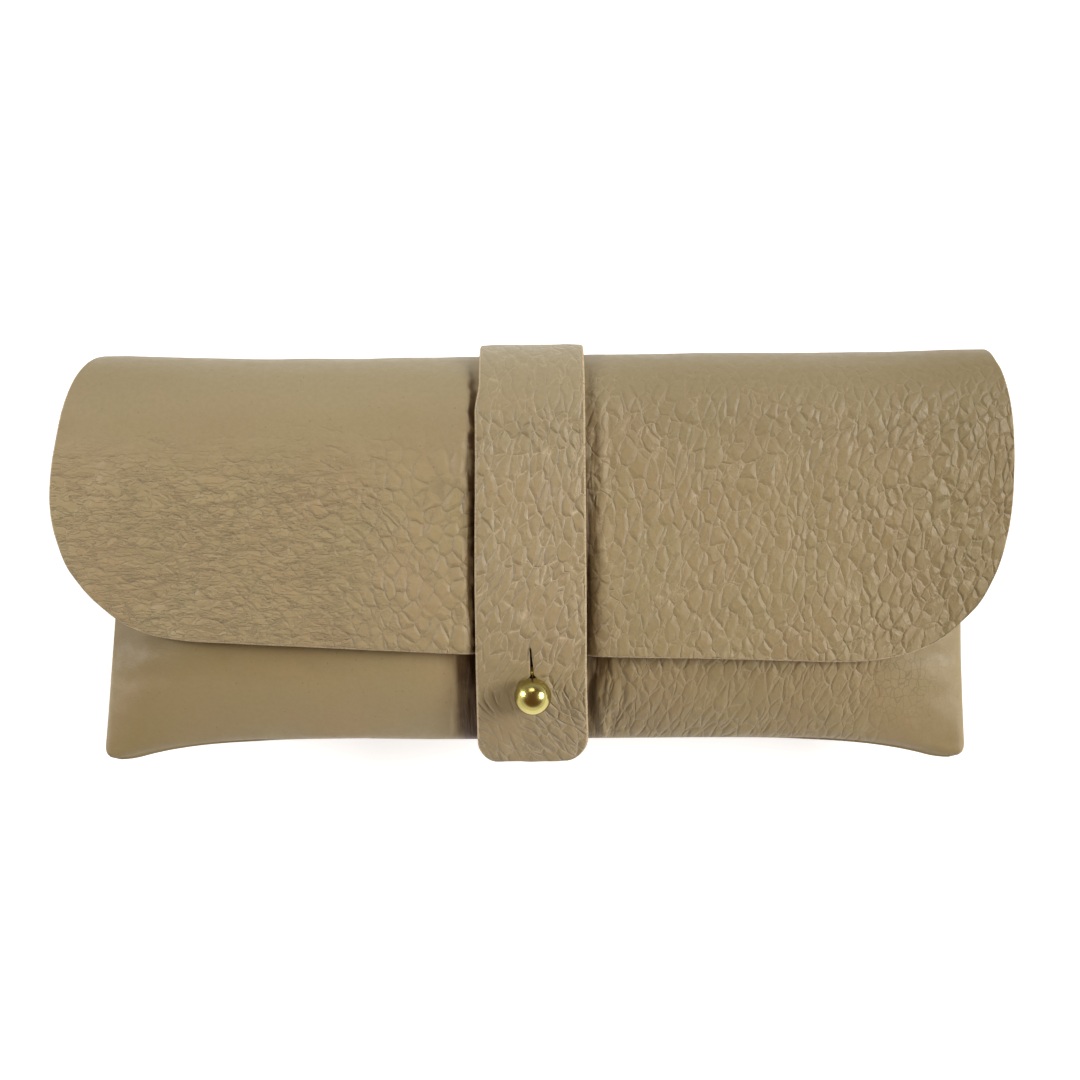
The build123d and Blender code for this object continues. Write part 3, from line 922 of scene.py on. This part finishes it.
def hide_fields(x, t):
    """Where the main hide is pebbled, which way, and where it is pinched."""
    s = FLAT_ZERO - t
    y = np.where(t > APEX, s, 30.0)
    left = x < LEFT_GRAIN_X
    right = mask(x, -16, 10)
    to_middle = mask(x, -12, -2)
    on_flap = t - ROLL_END
    from_top = right * mask(33 - y, -6, 12) + (1 - right) * mask(24 - y, -2, 16)
    ragged = ragged_edge(t, 0.35, 0.25)
    # Painted shadow in the gaps under the strap's edges, ragged on the left.
    gap = bell(x + 10.1 + ragged, 0.75, 4) * smooth((on_flap + 12) / 12)
    right_gap = bell(x - 10.1, 0.55, 6) * smooth((on_flap + 10) / 12)
    left_calm = mask(x, -92, -66) * (0.7 + 0.3 * mask(x, -60, -22))
    pebble = from_top * (right + (1 - right) * left_calm)
    pebble = np.where(t < ROLL_END * 0.4, 0.5, pebble)
    left_long = mask(-x, 16, 30) * mask(26 - s, 0, 8)
    right_long = 0.55 * to_middle * mask(40 - s, 0, 14)
    left_across = 0.55 * mask(-x, 16, 26) * mask(20 - s, 0, 12) * mask(x, -86, -66)
    right_across = 0.30 * to_middle * mask(38 - s, 0, 14)
    # Painted shade: the upper flap and the fold, the upper left and the right of the hide are
    # darkened.
    top_shade = 0.17 * mask(s, 18, 42) + 0.15 * mask(-x, 36, 82) * mask(s, 12, 40)
    right_shade = (0.19 * mask(x, -4, 24) + 0.20 * mask(x, 50, 84)) * mask(t, 0, 20)
    beside = bell(np.abs(x) - 10.3, 1.7) * smooth((on_flap + 2) / 14)
    return {
        "hide": flat_place(x, s),
        "grain": hide_grain_place(x, s),
        "cross": cross_creases(x, s),
        "long": np.where(left, left_long, right_long),
        "across": np.where(left, left_across, right_across),
        "shade": right_shade + top_shade,
        "painted_gap_shadow": 0.85 * (gap + 0.5 * right_gap),
        "glint": 0.25 + 0.75 * right,
        "crackle": np.zeros(len(x)),
        "crinkle": mask(-x, 12, 40) * mask(26 - s, 0, 16),
        "pebble": pebble * (1 + 0.35 * mask(x, 48, 80)),
        "pinch": np.where(x > 0, 0.6, 0.8) * beside,
    }


def pouch_grid(shares, top_y, lift):
    """Stations of a pouch panel between its bottom seam, lifted a little, and top_y."""
    bottom = bottom_line(HIDE_SHARES * HALF_POUCH)
    xs = []
    ys = []
    for r in shares:
        y = bottom + lift + (top_y - bottom - lift) * r
        widths = []
        for side, end in ((-1, 0), (1, -1)):
            above = y[end] - bottom[end]
            width = pouch_half_width(side, y[end])
            to_roll = (hide_half_width(side, 0.0) - width) * mask(y[end], MOUTH_Y, FOLD_Y)
            inset = lift * mask(MOUTH_Y - above - bottom_line(80.0), 0, 6)
            tuck = rounding(EAR_RADIUS, EAR_RADIUS - above)
            widths.append(float(width + to_roll - tuck - inset))
        xs.append(fan(HIDE_SHARES, *widths))
        ys.append(y)
    return np.concatenate(xs), np.concatenate(ys)


def curl_to_seam(outer, inner, curl, up, on_panel):
    """Curl a panel's border in to the seam; up is 1 on the back and -1 on the front."""
    level = up * inner[on_panel, 2] + 0.3 * curl[on_panel]
    inner[on_panel, 2] = up * np.minimum(level, up * SEAM_Z + SEAM_OVERLAP)
    outer[:, 2] += up * curl
    seam = curl > 0.9 * LEATHER
    inner[seam, 2] = up * np.maximum(up * inner[seam, 2], up * outer[seam, 2] + 0.4)


def build_back():
    """Back panel and the first third of the roll."""
    back_rows = int(62 / (1.4 * SPACING))
    roll_rows = int(TURN_60 / SPACING)
    x, y = pouch_grid(np.linspace(0, 1, back_rows) ** 0.9, FOLD_Y, BACK_INSET)
    ts = np.linspace(0, TURN_60, roll_rows + 1)[1:]
    roll_x, roll_t = stations(HIDE_SHARES, ts, hide_half_width(-1, ts), hide_half_width(1, ts))
    x = np.concatenate([x, roll_x])
    t = np.concatenate([y - FOLD_Y, roll_t])
    return sheet_of_hide("hide_back", x, t, back_rows + roll_rows, False, True)


def seam_roll(x, y):
    """How far a panel curls in to the seam at its outline."""
    side_gap = np.where(x < 0, x + pouch_half_width(-1, y), pouch_half_width(1, y) - x)
    side_gap = np.where(y > MOUTH_Y, 99.0, side_gap)
    gap = np.minimum(np.maximum(side_gap, 0), np.maximum(y - bottom_line(x), 0))
    curl = np.clip(1 - gap / LEATHER, 0, 1)
    return LEATHER * (1 - np.sqrt(np.maximum(1 - curl**2, 0)))


def sheet_of_hide(name, x, t, rows, first, last):
    """Piece of the main hide; first and last say which end rows meet a neighbour."""
    back = t < 0
    curl = np.where(back, seam_roll(x, FOLD_Y + np.minimum(t, 0)), 0)
    height = hide_relief(x, t) * (curl < 1e-6)
    outer, inner = two_faces(hide_surface, x, t, height, LEATHER)
    curl_to_seam(outer, inner, curl, 1, back)
    quads = grid_quads(HIDE_COLUMNS, rows)
    joined = edge_mask(HIDE_COLUMNS, rows, first, last)
    turned = back & (curl > 0)
    note_borders(name, len(x), range(HIDE_COLUMNS), range(len(x) - HIDE_COLUMNS, len(x)))
    fields = hide_fields(x, t)
    return thicken(name, hide_grain, outer, inner, quads, joined, fields, turned=turned)


def build_roll():
    rows = int((TURN_120 - TURN_60) / SPACING) + 1
    ts = np.linspace(TURN_60, TURN_120, rows)
    x, t = stations(HIDE_SHARES, ts, hide_half_width(-1, ts), hide_half_width(1, ts))
    return sheet_of_hide("hide_roll", x, t, rows, True, True)


def build_flap():
    grid, rows = flap_grid()
    x, t = grid[::-1].reshape(-1, 2).T
    return sheet_of_hide("hide_flap", x, t, rows, True, False)


def front_fields(x, t):
    """The front panel's grain, calm on the left, and its soft shadows."""
    right = mask(x, 6, 16)
    near_right = mask(x, 8, 14)
    # Painted shadow in the grooves on both sides of the strap, frayed and stronger on the left.
    frayed = two_noises(t, x, 63, ((3.2, 4), (1.1, 2)), (0.8, 0.4))
    painted_gap_shadow = 0.85 * smooth((x + 14.3 + frayed) / 3.4) * smooth((-7.6 - x) / 1.6)
    painted_gap_shadow = painted_gap_shadow + 0.3 * bell(x - 10.6, 0.9, 4)
    # Painted shade: darker towards the left end, right of the strap and at the right end, with a
    # painted shadow under and below the flap's lower edge on the left; the whole panel is a little
    # darker.
    left_shade = 0.03 * mask(-x, 14, 24) + 0.14 * mask(-x, 24, 64) + 0.16 * mask(-x, 60, 76)
    flap_shade = 0.24 * mask(-x, 16, 44) * smooth((-t + 24.5) / 7)
    right_shade = 0.12 * mask(x, 64, 78) + 0.15 * near_right * (1 - 0.4 * mask(x, 50, 64))
    return {
        "hide": flat_place(x + 300, -t),
        "grain": hide_grain_place(x, -t, 50.0),
        "cross": cross_creases(x, -t),
        "long": 0.7 * near_right * (1 - mask(x, 54, 66)),
        "across": 0.25 * near_right * (1 - mask(x, 50, 62)),
        "shade": 0.08 + left_shade + flap_shade + right_shade,
        "painted_gap_shadow": (0.2 + 0.8 * mask(t, 4, 14)) * painted_gap_shadow,
        "glint": 0.3 + 0.7 * right,
        "crinkle": 0.06 * mask(-x, 8, 14),
        "crackle": bell(x - 67, 7) * bell(24 - t, 7),
        "pebble": right * (1 - mask(x, 56, 68)) * 0.9 + (1 - right) * 0.06,
        "pinch": bell(np.abs(x) - 11.0, 2.4) * np.where(x > 0, 0.5, 1.0),
    }


def build_front():
    """Front panel, from the mouth down to the bottom seam."""
    rows = int(50 / SPACING)
    x, y = pouch_grid(1 - np.linspace(0, 1, rows), MOUTH_Y, 0.0)
    t = -y
    curl = seam_roll(x, y)
    height = front_relief(x, t) * (1 - smooth(curl / 0.6))
    outer, inner = two_faces(front_surface, x, t, height, LEATHER)
    curl_to_seam(outer, inner, curl, -1, np.full(len(x), True))
    quads = grid_quads(HIDE_COLUMNS, rows)
    joined = edge_mask(HIDE_COLUMNS, rows)
    fields = front_fields(x, t)
    return thicken(
        "hide_front", hide_grain, outer, inner, quads, joined, fields, turned=curl > 0
    )


# ---- build the strap
STRAP_SPACING = 0.36
STRAP_COLUMNS = int(2 * HALF_STRAP / STRAP_SPACING) // 2 * 2 + 1
STRAP_60 = radians(60) * STRAP_OUTER
STRAP_120 = radians(120) * STRAP_OUTER
SHOULDER_END = STRAP_ROLL_END + FOLD_Y - STRAP_HINGE_Y - 4.0
SEWN_CORNER = 2.0
TIP_CORNERS = (3.4, 4.2)


def strap_fields(x, t):
    """The strap's pebbles, which lean more and more towards its end."""
    s = STRAP_ROLL_END + FOLD_Y - t
    calm = bell(x + 4.5, 4.5) * bell(s + 26, 6.0)
    lean = np.interp(s, [-40, -30, -20, 60], [1.0, 0.75, -0.22, -0.10])
    u = (x + lean * (s + 26)) / np.interp(s, [-34, -24, 60], [2.2, 1.9, 1.9])
    v = (s - lean * x * 0.4) / 3.7
    a, b = diamonds(
        u + two_noises(x, s, 91, ((9, 11), (3.6, 4.4)), (0.6, 0.2)),
        v + two_noises(x, s, 93, ((10, 9), (4, 4)), (0.6, 0.2)),
    )
    lines = (x + lean * (s + 26)) / 3.0 + 0.5 * value_noise(x / 8, s / 18, 95)
    cross = (x - (lean + 0.6) * 0.7 * (s + 26)) / 3.6 + 0.5 * value_noise(x / 8, s / 12, 96)
    fields = {
        "hide": flat_place(x + 130, s),
        "grain": np.stack([a + 90, b, lines], axis=1),
        "cross": cross,
        "long": 0.6 * (1 - calm) * mask(38 - s, 0, 10),
        "across": 0.35 * (1 - calm) * mask(34 - s, 0, 10),
        # Painted shade towards the strap's free end.
        "shade": 0.06 * mask(-14 - s, 0, 12),
        "glint": np.ones(len(x)),
        "pebble": 1.25 * (0.45 + 0.55 * mask(30 - s, 0, 10)) * (1 - 0.85 * calm),
    }
    fields.update(dict.fromkeys(("painted_gap_shadow", "crackle", "crinkle", "pinch"), np.zeros(len(x))))
    return fields


def strap_piece(name, x, t, quads, joined, inner_x=None, rim=1.0):
    """Piece of the strap, a little lower towards its edges; inner_x moves its inner points."""
    height = strap_relief(x, t) - STRAP_CROWN * np.abs(x / HALF_STRAP) ** 6
    outer, inner = two_faces(strap_surface, x, t, height, STRAP_LEATHER)
    on_back = t < 0
    outer[on_back, 2] = np.maximum(outer[on_back, 2], 0.0)
    if inner_x is not None:
        inner[:, 0] = inner_x
    return thicken(name, strap_grain, outer, inner, quads, joined, strap_fields(x, t), rim)


def strap_half_width(t, side):
    """Half width on one side: the left edge shifts along the strap and the right edge flares towards
    the free end.
    """
    y = FOLD_Y - (t - STRAP_ROLL_END)
    flare = 0.35 * mask(-20 - y, 0, 16)
    lean = -0.5 + 0.72 * smooth((31 - y) / 6) + 0.25 * smooth((20 - y) / 25)
    return HALF_STRAP - 0.3 + (lean if side < 0 else flare)


def straight_strap(name, t_from, t_to, first, last):
    """A plain length of the strap; the one that starts low on the back has a rounded end."""
    ts = np.linspace(t_from, t_to, int(abs(t_to - t_from) / STRAP_SPACING) + 1)
    tuck = 0.0
    if not first:
        ends = t_from + SEWN_CORNER * (1 - np.cos(np.radians([0, 25, 50, 70])))
        ts = np.concatenate([ends, ts[ts > t_from + 0.8 * SEWN_CORNER]])
        tuck = rounding(SEWN_CORNER, SEWN_CORNER - (ts - t_from))
    low, high = [strap_half_width(ts, side) - tuck for side in (-1, 1)]
    x, t = stations(np.linspace(-1, 1, STRAP_COLUMNS), ts, low, high)
    joined = edge_mask(STRAP_COLUMNS, len(ts), first, last)
    note_borders(name, len(x), range(STRAP_COLUMNS), range(len(x) - STRAP_COLUMNS, len(x)))
    return strap_piece(name, x, t, grid_quads(STRAP_COLUMNS, len(ts)), joined)


def opening_half_width(y, hole_y, narrowing=1.0, flaring=0.6):
    """Half width of the keyhole and its slit at a height on the strap."""
    chord = np.sqrt(np.maximum(KEYHOLE_RADIUS**2 - (y - hole_y) ** 2, 0))
    above = (y - hole_y) / SLIT_LENGTH
    inside = (above > 0) & (above < 1)
    flare = flaring * np.clip(1 - (above * SLIT_LENGTH - KEYHOLE_RADIUS) / 0.8, 0, 1) ** 2
    slit = narrowing * SLIT_WIDTH / 2 * (1 - 0.72 * above) + flare
    return np.maximum(chord, np.where(inside, slit, 0))


def front_strap(hole_y):
    """Free part of the strap: two halves that part at the keyhole and its slit."""
    last_t = STRAP_ROLL_END + FOLD_Y - TIP_Y - STRAP_LEATHER * sin(strap_tilt(TIP_Y))
    plain_rows = int((last_t - SHOULDER_END) / STRAP_SPACING) + 1
    ts = np.linspace(SHOULDER_END, last_t - TIP_CORNERS[1], plain_rows)
    tip_ts = last_t - TIP_CORNERS[1] * (1 - np.sin(np.radians(np.arange(9, 91, 9))))
    ts = np.concatenate([ts, tip_ts])
    rows = len(ts)
    ys = FOLD_Y - (ts - STRAP_ROLL_END)
    outer_y = ys - STRAP_LEATHER * np.sin(strap_tilt(ys))
    opening = opening_half_width(outer_y, hole_y)
    # The lips of the slit meet on the strap's underside.
    deep = opening_half_width(outer_y, hole_y, narrowing=0.62, flaring=0.0)
    drift = -0.4 * np.clip((outer_y - hole_y - 2) / (SLIT_LENGTH - 2), 0, 1.2)
    drift = drift * smooth((hole_y + SLIT_LENGTH + 4 - outer_y) / 3.5)
    half = STRAP_COLUMNS // 2 + 1
    share = np.linspace(0, 1, half)
    found = []
    for gap in (opening, deep):
        halves = []
        for side, corner in zip((-1, 1), TIP_CORNERS):
            width = strap_half_width(ts, side) - rounding(corner, ts - (last_t - corner))
            across = side * (gap[:, None] + (width - gap)[:, None] * share)
            across = across + drift[:, None] * (1 - share)
            halves.append(across[:, ::side].ravel())
        found.append(np.concatenate(halves))
    x, deep_x = found
    t = np.tile(np.repeat(ts, half), 2)
    rim = np.where(np.abs(x) < 0.5 * HALF_STRAP, 0.3, 1.0)
    right_start = half * rows
    quads = grid_quads(half, rows)
    quads = np.concatenate([quads, quads + right_start])
    # Above and below the opening, both halves share their middle points.
    closed = np.arange(rows)[opening < 1e-6]
    merge = np.arange(len(x))
    merge[right_start + closed * half] = closed * half + half - 1
    keep = np.unique(merge)
    renumber = np.zeros(len(x), int)
    renumber[keep] = np.arange(len(keep))
    quads = renumber[merge[quads]]
    joined = np.zeros(len(x), bool)
    joined[:half] = True
    joined[right_start : right_start + half] = True
    top_row = renumber[merge[np.r_[:half, right_start + 1 : right_start + half]]]
    note_borders("strap_front_leather", len(keep), top_row, [])
    return strap_piece(
        "strap_front_leather", x[keep], t[keep], quads, joined[keep], deep_x[keep], rim[keep]
    )


# ---- stud, patch, threads
def ring_quads(start, count):
    """Quads between a ring of points and the next ring."""
    quads = []
    for k in range(count):
        a = start + k
        b = start + (k + 1) % count
        quads.append((a, b, b + count, a + count))
    return quads


def lathe(profile, segments):
    """A turned solid from (radius, height) points, closed on its axis at both ends."""
    turns = 2 * pi * np.arange(segments) / segments
    points = [(r * cos(a), r * sin(a), height) for r, height in profile[1:-1] for a in turns]
    first = len(points)
    points += [(0, 0, profile[0][1]), (0, 0, profile[-1][1])]
    top = first - segments
    faces = []
    for a in range(0, top, segments):
        faces += ring_quads(a, segments)
    for k in range(segments):
        after = (k + 1) % segments
        faces.append((first, after, k))
        faces.append((first + 1, top + k, top + after))
    return np.array(points), faces


def cad_front_outer(y):
    """Front panel's outer face at mid length, on the CAD shape."""
    return SEAM_Z + LEATHER + (FRONT_RISE - STRAP_DENT) * float(pillow(0.0, y))


STUD_BASE_Z = cad_front_outer(STUD_BASE_Y)
stud_slope = cad_front_outer(STUD_BASE_Y + 0.01) - cad_front_outer(STUD_BASE_Y - 0.01)
STUD_TILT = atan(stud_slope / 0.02)
ball_top = box_in_mm("stud_head")[1][2]
BALL_HEIGHT = (ball_top - BALL_RADIUS - STUD_BASE_Z) / cos(STUD_TILT)


def on_stud(points):
    """Turn points from the stud's own axis into the case's frame."""
    x, y, z = points.T
    across = STUD_BASE_Y + y * cos(STUD_TILT) - z * sin(STUD_TILT)
    up = STUD_BASE_Z + y * sin(STUD_TILT) + z * cos(STUD_TILT)
    return np.stack([x, across, up], axis=1)


def build_stud():
    profile = [(0, 0.05), (3.45, 0.05), (3.66, 0.18), (3.7, 0.45), (3.62, 0.78), (3.3, 0.98)]
    profile += [(2.3, 1.06), (NECK_RADIUS + 0.25, 1.2), (NECK_RADIUS, 1.6)]
    low = sqrt(BALL_RADIUS**2 - NECK_RADIUS**2)
    profile += [(NECK_RADIUS, BALL_HEIGHT - low - 0.25)]
    start = atan(NECK_RADIUS / low)
    for k in range(1, 41):
        turn = start + (pi - start) * k / 41
        profile.append((BALL_RADIUS * sin(turn), BALL_HEIGHT - BALL_RADIUS * cos(turn)))
    profile.append((0, BALL_HEIGHT + BALL_RADIUS))
    points, faces = lathe(profile, 96)
    piece = new_piece("ball_stud", on_stud(points), faces)
    piece.data.materials.append(brass)
    return piece


def build_patch():
    """Round suede patch inside the front panel, under the stud's screw head."""
    rings = 12
    around = 48
    radius, turn = np.meshgrid(np.linspace(1.6, 7.8, rings), 2 * pi * np.arange(around) / around)
    radius = radius.T.ravel()
    turn = -turn.T.ravel()
    x = radius * np.cos(turn)
    t = -(STUD_BASE_Y + 1.0 + radius * np.sin(turn) * 0.96)
    quads = grid_quads(around + 1, rings)
    ring, spoke = np.divmod(quads, around + 1)
    quads = ring * around + spoke % around
    fields = {"hide": flat_place(x + 60, -t + 90)}
    under = np.full(len(x), -LEATHER - 0.06)
    outer, inner = two_faces(front_surface, x, t, under, LEATHER + 1.15)
    joined = np.zeros(len(x), bool)
    return thicken("stud_patch_suede", flesh_side, outer, inner, quads, joined, fields, 0.5)


def tube(path, radius, sides=8):
    """Points and faces of a closed round tube along a path, with domed ends."""
    path = np.array(path, float)
    turns = 2 * pi * np.arange(sides)[:, None] / sides
    last = len(path) - 1
    points = []
    faces = []
    for i, p in enumerate(path):
        ahead = path[min(i + 1, last)] - path[max(i - 1, 0)]
        ahead = ahead / np.linalg.norm(ahead)
        helper = np.array([0, 0, 1.0]) if abs(ahead[2]) < 0.9 else np.array([1.0, 0, 0])
        u = np.cross(ahead, helper)
        u /= np.linalg.norm(u)
        v = np.cross(ahead, u)
        share = 0.45 if i in (0, last) else 1.0
        points.extend(p + radius * share * (u * np.cos(turns) + v * np.sin(turns)))
    for a in range(0, last * sides, sides):
        faces += ring_quads(a, sides)
    faces.append(tuple(range(sides))[::-1])
    faces.append(tuple(range(last * sides, (last + 1) * sides)))
    return points, faces


def stitches(name, paths, radius):
    """Many short tubes as one piece."""
    points = []
    faces = []
    for path in paths:
        more, quads = tube(path, radius)
        start = len(points)
        points.extend(more)
        faces.extend(tuple(start + i for i in face) for face in quads)
    piece = new_piece(name, points, faces)
    piece.data.materials.append(thread)
    return piece


def seam_stitch_paths(pitch=3.0, length=2.3, inset=0.95):
    """Stitches that lie in the seam between the two panels."""
    run = length * np.array([0, 0.3, 0.7, 1])
    bow = np.array([0.15, 0.0, 0.0, 0.15])
    level = np.full(4, SEAM_Z)
    paths = []
    for side in (-1, 1):
        for start in np.arange(MOUTH_Y - 2.0, BOTTOM_MIDDLE_Y - 1.5, -pitch):
            y = start - run
            x = side * (pouch_half_width(side, y) - inset - bow)
            paths.append(np.stack([x, y, level], axis=1))
    for start in np.arange(-74, 72, pitch):
        x = start + run
        paths.append(np.stack([x, bottom_line(x) + inset + bow, level], axis=1))
    return paths


def box_stitch_paths(pitch=3.4, half=1.3, level=0.42):
    """Box stitch on the strap's rear face, sunk so that the strap still rests flat."""
    low, high = box_in_mm("strap_stitching")
    size = high - low - 0.7
    middle = (low + high) / 2
    shares = np.array([-1, -0.7, 0, 0.7, 1])
    lift = level + np.array([0.45, 0.05, 0.0, 0.05, 0.45])
    paths = []
    for axis in (0, 1):
        for i in range(round(size[axis] / pitch)):
            along = -size[axis] / 2 + pitch * (i + 0.5) + shares * half
            for side in (-1, 1):
                across = np.full(5, side * size[1 - axis] / 2)
                x, y = (along, across) if axis == 0 else (across, along)
                paths.append(np.stack([x, y + middle[1], lift], axis=1))
    return paths


# ---- make every piece
hide_back = build_back()
hide_roll = build_roll()
hide_flap = build_flap()
hide_front = build_front()

hole_y = STUD_BASE_Y - (BALL_HEIGHT - 1.6) * sin(STUD_TILT) + 0.05
strap_back_leather = straight_strap("strap_back_leather", STRAP_SEWN_Y - FOLD_Y, STRAP_60, False, True)
strap_roll_leather = straight_strap("strap_roll_leather", STRAP_60, STRAP_120, True, True)
strap_shoulder = straight_strap("strap_shoulder", STRAP_120, SHOULDER_END, True, True)
strap_front_leather = front_strap(hole_y)

ball_stud = build_stud()
stud_patch_suede = build_patch()
seam_stitching = stitches("seam_stitching", seam_stitch_paths(), 0.30)
box_stitching = stitches("box_stitching", box_stitch_paths(), 0.38)

screw = frame["nodes"]["stud_screw"]
screw.data.materials.clear()
screw.data.materials.append(brass)


# ---- shared borders
def face_sums(piece):
    """Area weighted sum of the inner and outer faces' normals at every vertex."""
    mesh = piece.data
    count = len(mesh.polygons)
    normals = np.zeros(count * 3)
    mesh.polygons.foreach_get("normal", normals)
    areas = np.zeros(count)
    mesh.polygons.foreach_get("area", areas)
    kinds = np.zeros(count, np.int32)
    mesh.polygons.foreach_get("material_index", kinds)
    corners = np.zeros(len(mesh.loops), np.int32)
    mesh.loops.foreach_get("vertex_index", corners)
    weighted = normals.reshape(-1, 3) * (areas * (kinds != CUT_EDGE))[:, None]
    sums = np.zeros((len(mesh.vertices), 3))
    np.add.at(sums, corners.reshape(-1, 4), weighted[:, None, :])
    return sums


def share_normals(pieces):
    """Give neighbouring pieces of one hide the same normals along their shared border."""
    sums = {piece.name: face_sums(piece) for piece in pieces}
    wanted = {piece.name: np.zeros_like(sums[piece.name]) for piece in pieces}
    for above, below in zip(pieces[:-1], pieces[1:]):
        pairs = zip(BORDERS[above.name]["last"], BORDERS[below.name]["first"])
        for a, b in pairs:
            both = sums[above.name][a] + sums[below.name][b]
            both = both / np.linalg.norm(both, axis=1)[:, None]
            wanted[above.name][a] = both
            wanted[below.name][b] = both
    for piece in pieces:
        piece.data.normals_split_custom_set_from_vertices(wanted[piece.name].tolist())


hide_run = [hide_back, hide_roll, hide_flap]
strap_run = [strap_back_leather, strap_roll_leather, strap_shoulder, strap_front_leather]
share_normals(hide_run)
share_normals(strap_run)


# ---- hide the CAD shapes and hang the front pieces on the pouch's body
def at(point):
    return tuple(MM * float(c) for c in point)


def on_roll(degrees_round, radius=FOLD_RADIUS):
    y, z = round_fold(radians(degrees_round), radius)
    return at((0, y, z))


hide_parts("back_panel")
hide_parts("top_fold_rear", "top_fold_front")
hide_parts("flap")
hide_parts("front_panel")
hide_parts("strap_back")
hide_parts("strap_fold_rear", "strap_fold_front")
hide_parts("strap_top")
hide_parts("strap_front", "strap_tip")
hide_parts("stud_head")
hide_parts("stud_patch")
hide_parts("seam_thread")
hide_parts("strap_stitching")

on_roll(0)
on_roll(60)
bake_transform(hide_back)
on_roll(60)
on_roll(120)
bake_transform(hide_roll)
on_roll(120)
on_roll(180)
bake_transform(hide_flap)
on_roll(0)
on_roll(60)
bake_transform(strap_back_leather)
on_roll(60)
on_roll(120)
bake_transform(strap_roll_leather)
on_roll(120)
on_roll(180)
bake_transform(strap_shoulder)
strap_level = FOLD_Z + STRAP_INNER
at((0, STRAP_HINGE_Y + 4.0, strap_level))
at((0, STRAP_HINGE_Y - 4.0, strap_level))
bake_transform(strap_front_leather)
for piece in (hide_front, ball_stud, stud_patch_suede, seam_stitching, box_stitching):
    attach(piece, "pouch")

# ---- floor, light, camera
def add_floor():
    half = 1500
    corners = [(-half, -half, 0), (half, -half, 0), (half, half, 0), (-half, half, 0)]
    floor = new_piece("floor", corners, [(0, 1, 2, 3)], [False])
    floor.location.z = -0.0002
    floor.data.materials.append(pale_floor("floor"))


def area_light(name, place, aim, size, power, colour=(1, 1, 1)):
    data = bpy.data.lights.new(name, "AREA")
    data.shape = "RECTANGLE"
    data.size, data.size_y = size
    data.energy = power
    data.color = colour
    light = bpy.data.objects.new(name, data)
    light.location = place
    light.rotation_euler = (Vector(aim) - Vector(place)).to_track_quat("-Z", "Y").to_euler()
    bpy.context.scene.collection.objects.link(light)


def light_place(round_degrees, height_degrees, distance):
    """A light's place, as an angle round from +X and a height above the floor."""
    a = radians(round_degrees)
    h = radians(height_degrees)
    return (distance * cos(h) * cos(a), distance * cos(h) * sin(a), 0.02 + distance * sin(h))


def add_lights():
    middle = (0, 0, 0.02)
    area_light("key_box", light_place(9, 33, 3.4), middle, (1.5, 1.2), 141)
    area_light("top_box", light_place(98, 42, 2.0), middle, (1.0, 0.6), 7)
    area_light("left_box", light_place(164, 23, 1.5), middle, (0.4, 0.6), 18.0)
    world = bpy.data.worlds.new("studio")
    bpy.context.scene.world = world
    world.use_nodes = True
    tree = world.node_tree
    tree.nodes.clear()
    direction = node(tree, "ShaderNodeTexCoord", {}, "Generated")
    overhead = span(node(tree, "ShaderNodeSeparateXYZ", {0: direction}, 2), 0.28, 0.55)
    far_side = span(node(tree, "ShaderNodeSeparateXYZ", {0: direction}, 1), 0.0, 0.7)
    colour = mix_colour(far_side, (1, 1, 1, 1), (0.45, 0.45, 0.46, 1))
    colour = mix_colour(overhead, colour, (0.19, 0.095, 0.045, 1))
    background = node(tree, "ShaderNodeBackground", {"Color": colour, "Strength": 1.08})
    node(tree, "ShaderNodeOutputWorld", {"Surface": background})


def add_camera():
    """Straight above the front, a little right of and above the strap's stud."""
    data = bpy.data.cameras.new("camera")
    data.sensor_width = 36.0
    data.lens = 61.7
    data.clip_start = 0.01
    camera = bpy.data.objects.new("camera", data)
    camera.location = (0.0015, 0.0023, 0.358)
    camera.rotation_euler = (0, 0, radians(-0.45))
    bpy.context.scene.collection.objects.link(camera)
    bpy.context.scene.camera = camera


add_floor()
add_lights()
add_camera()
bpy.context.scene.view_settings.view_transform = "Standard"
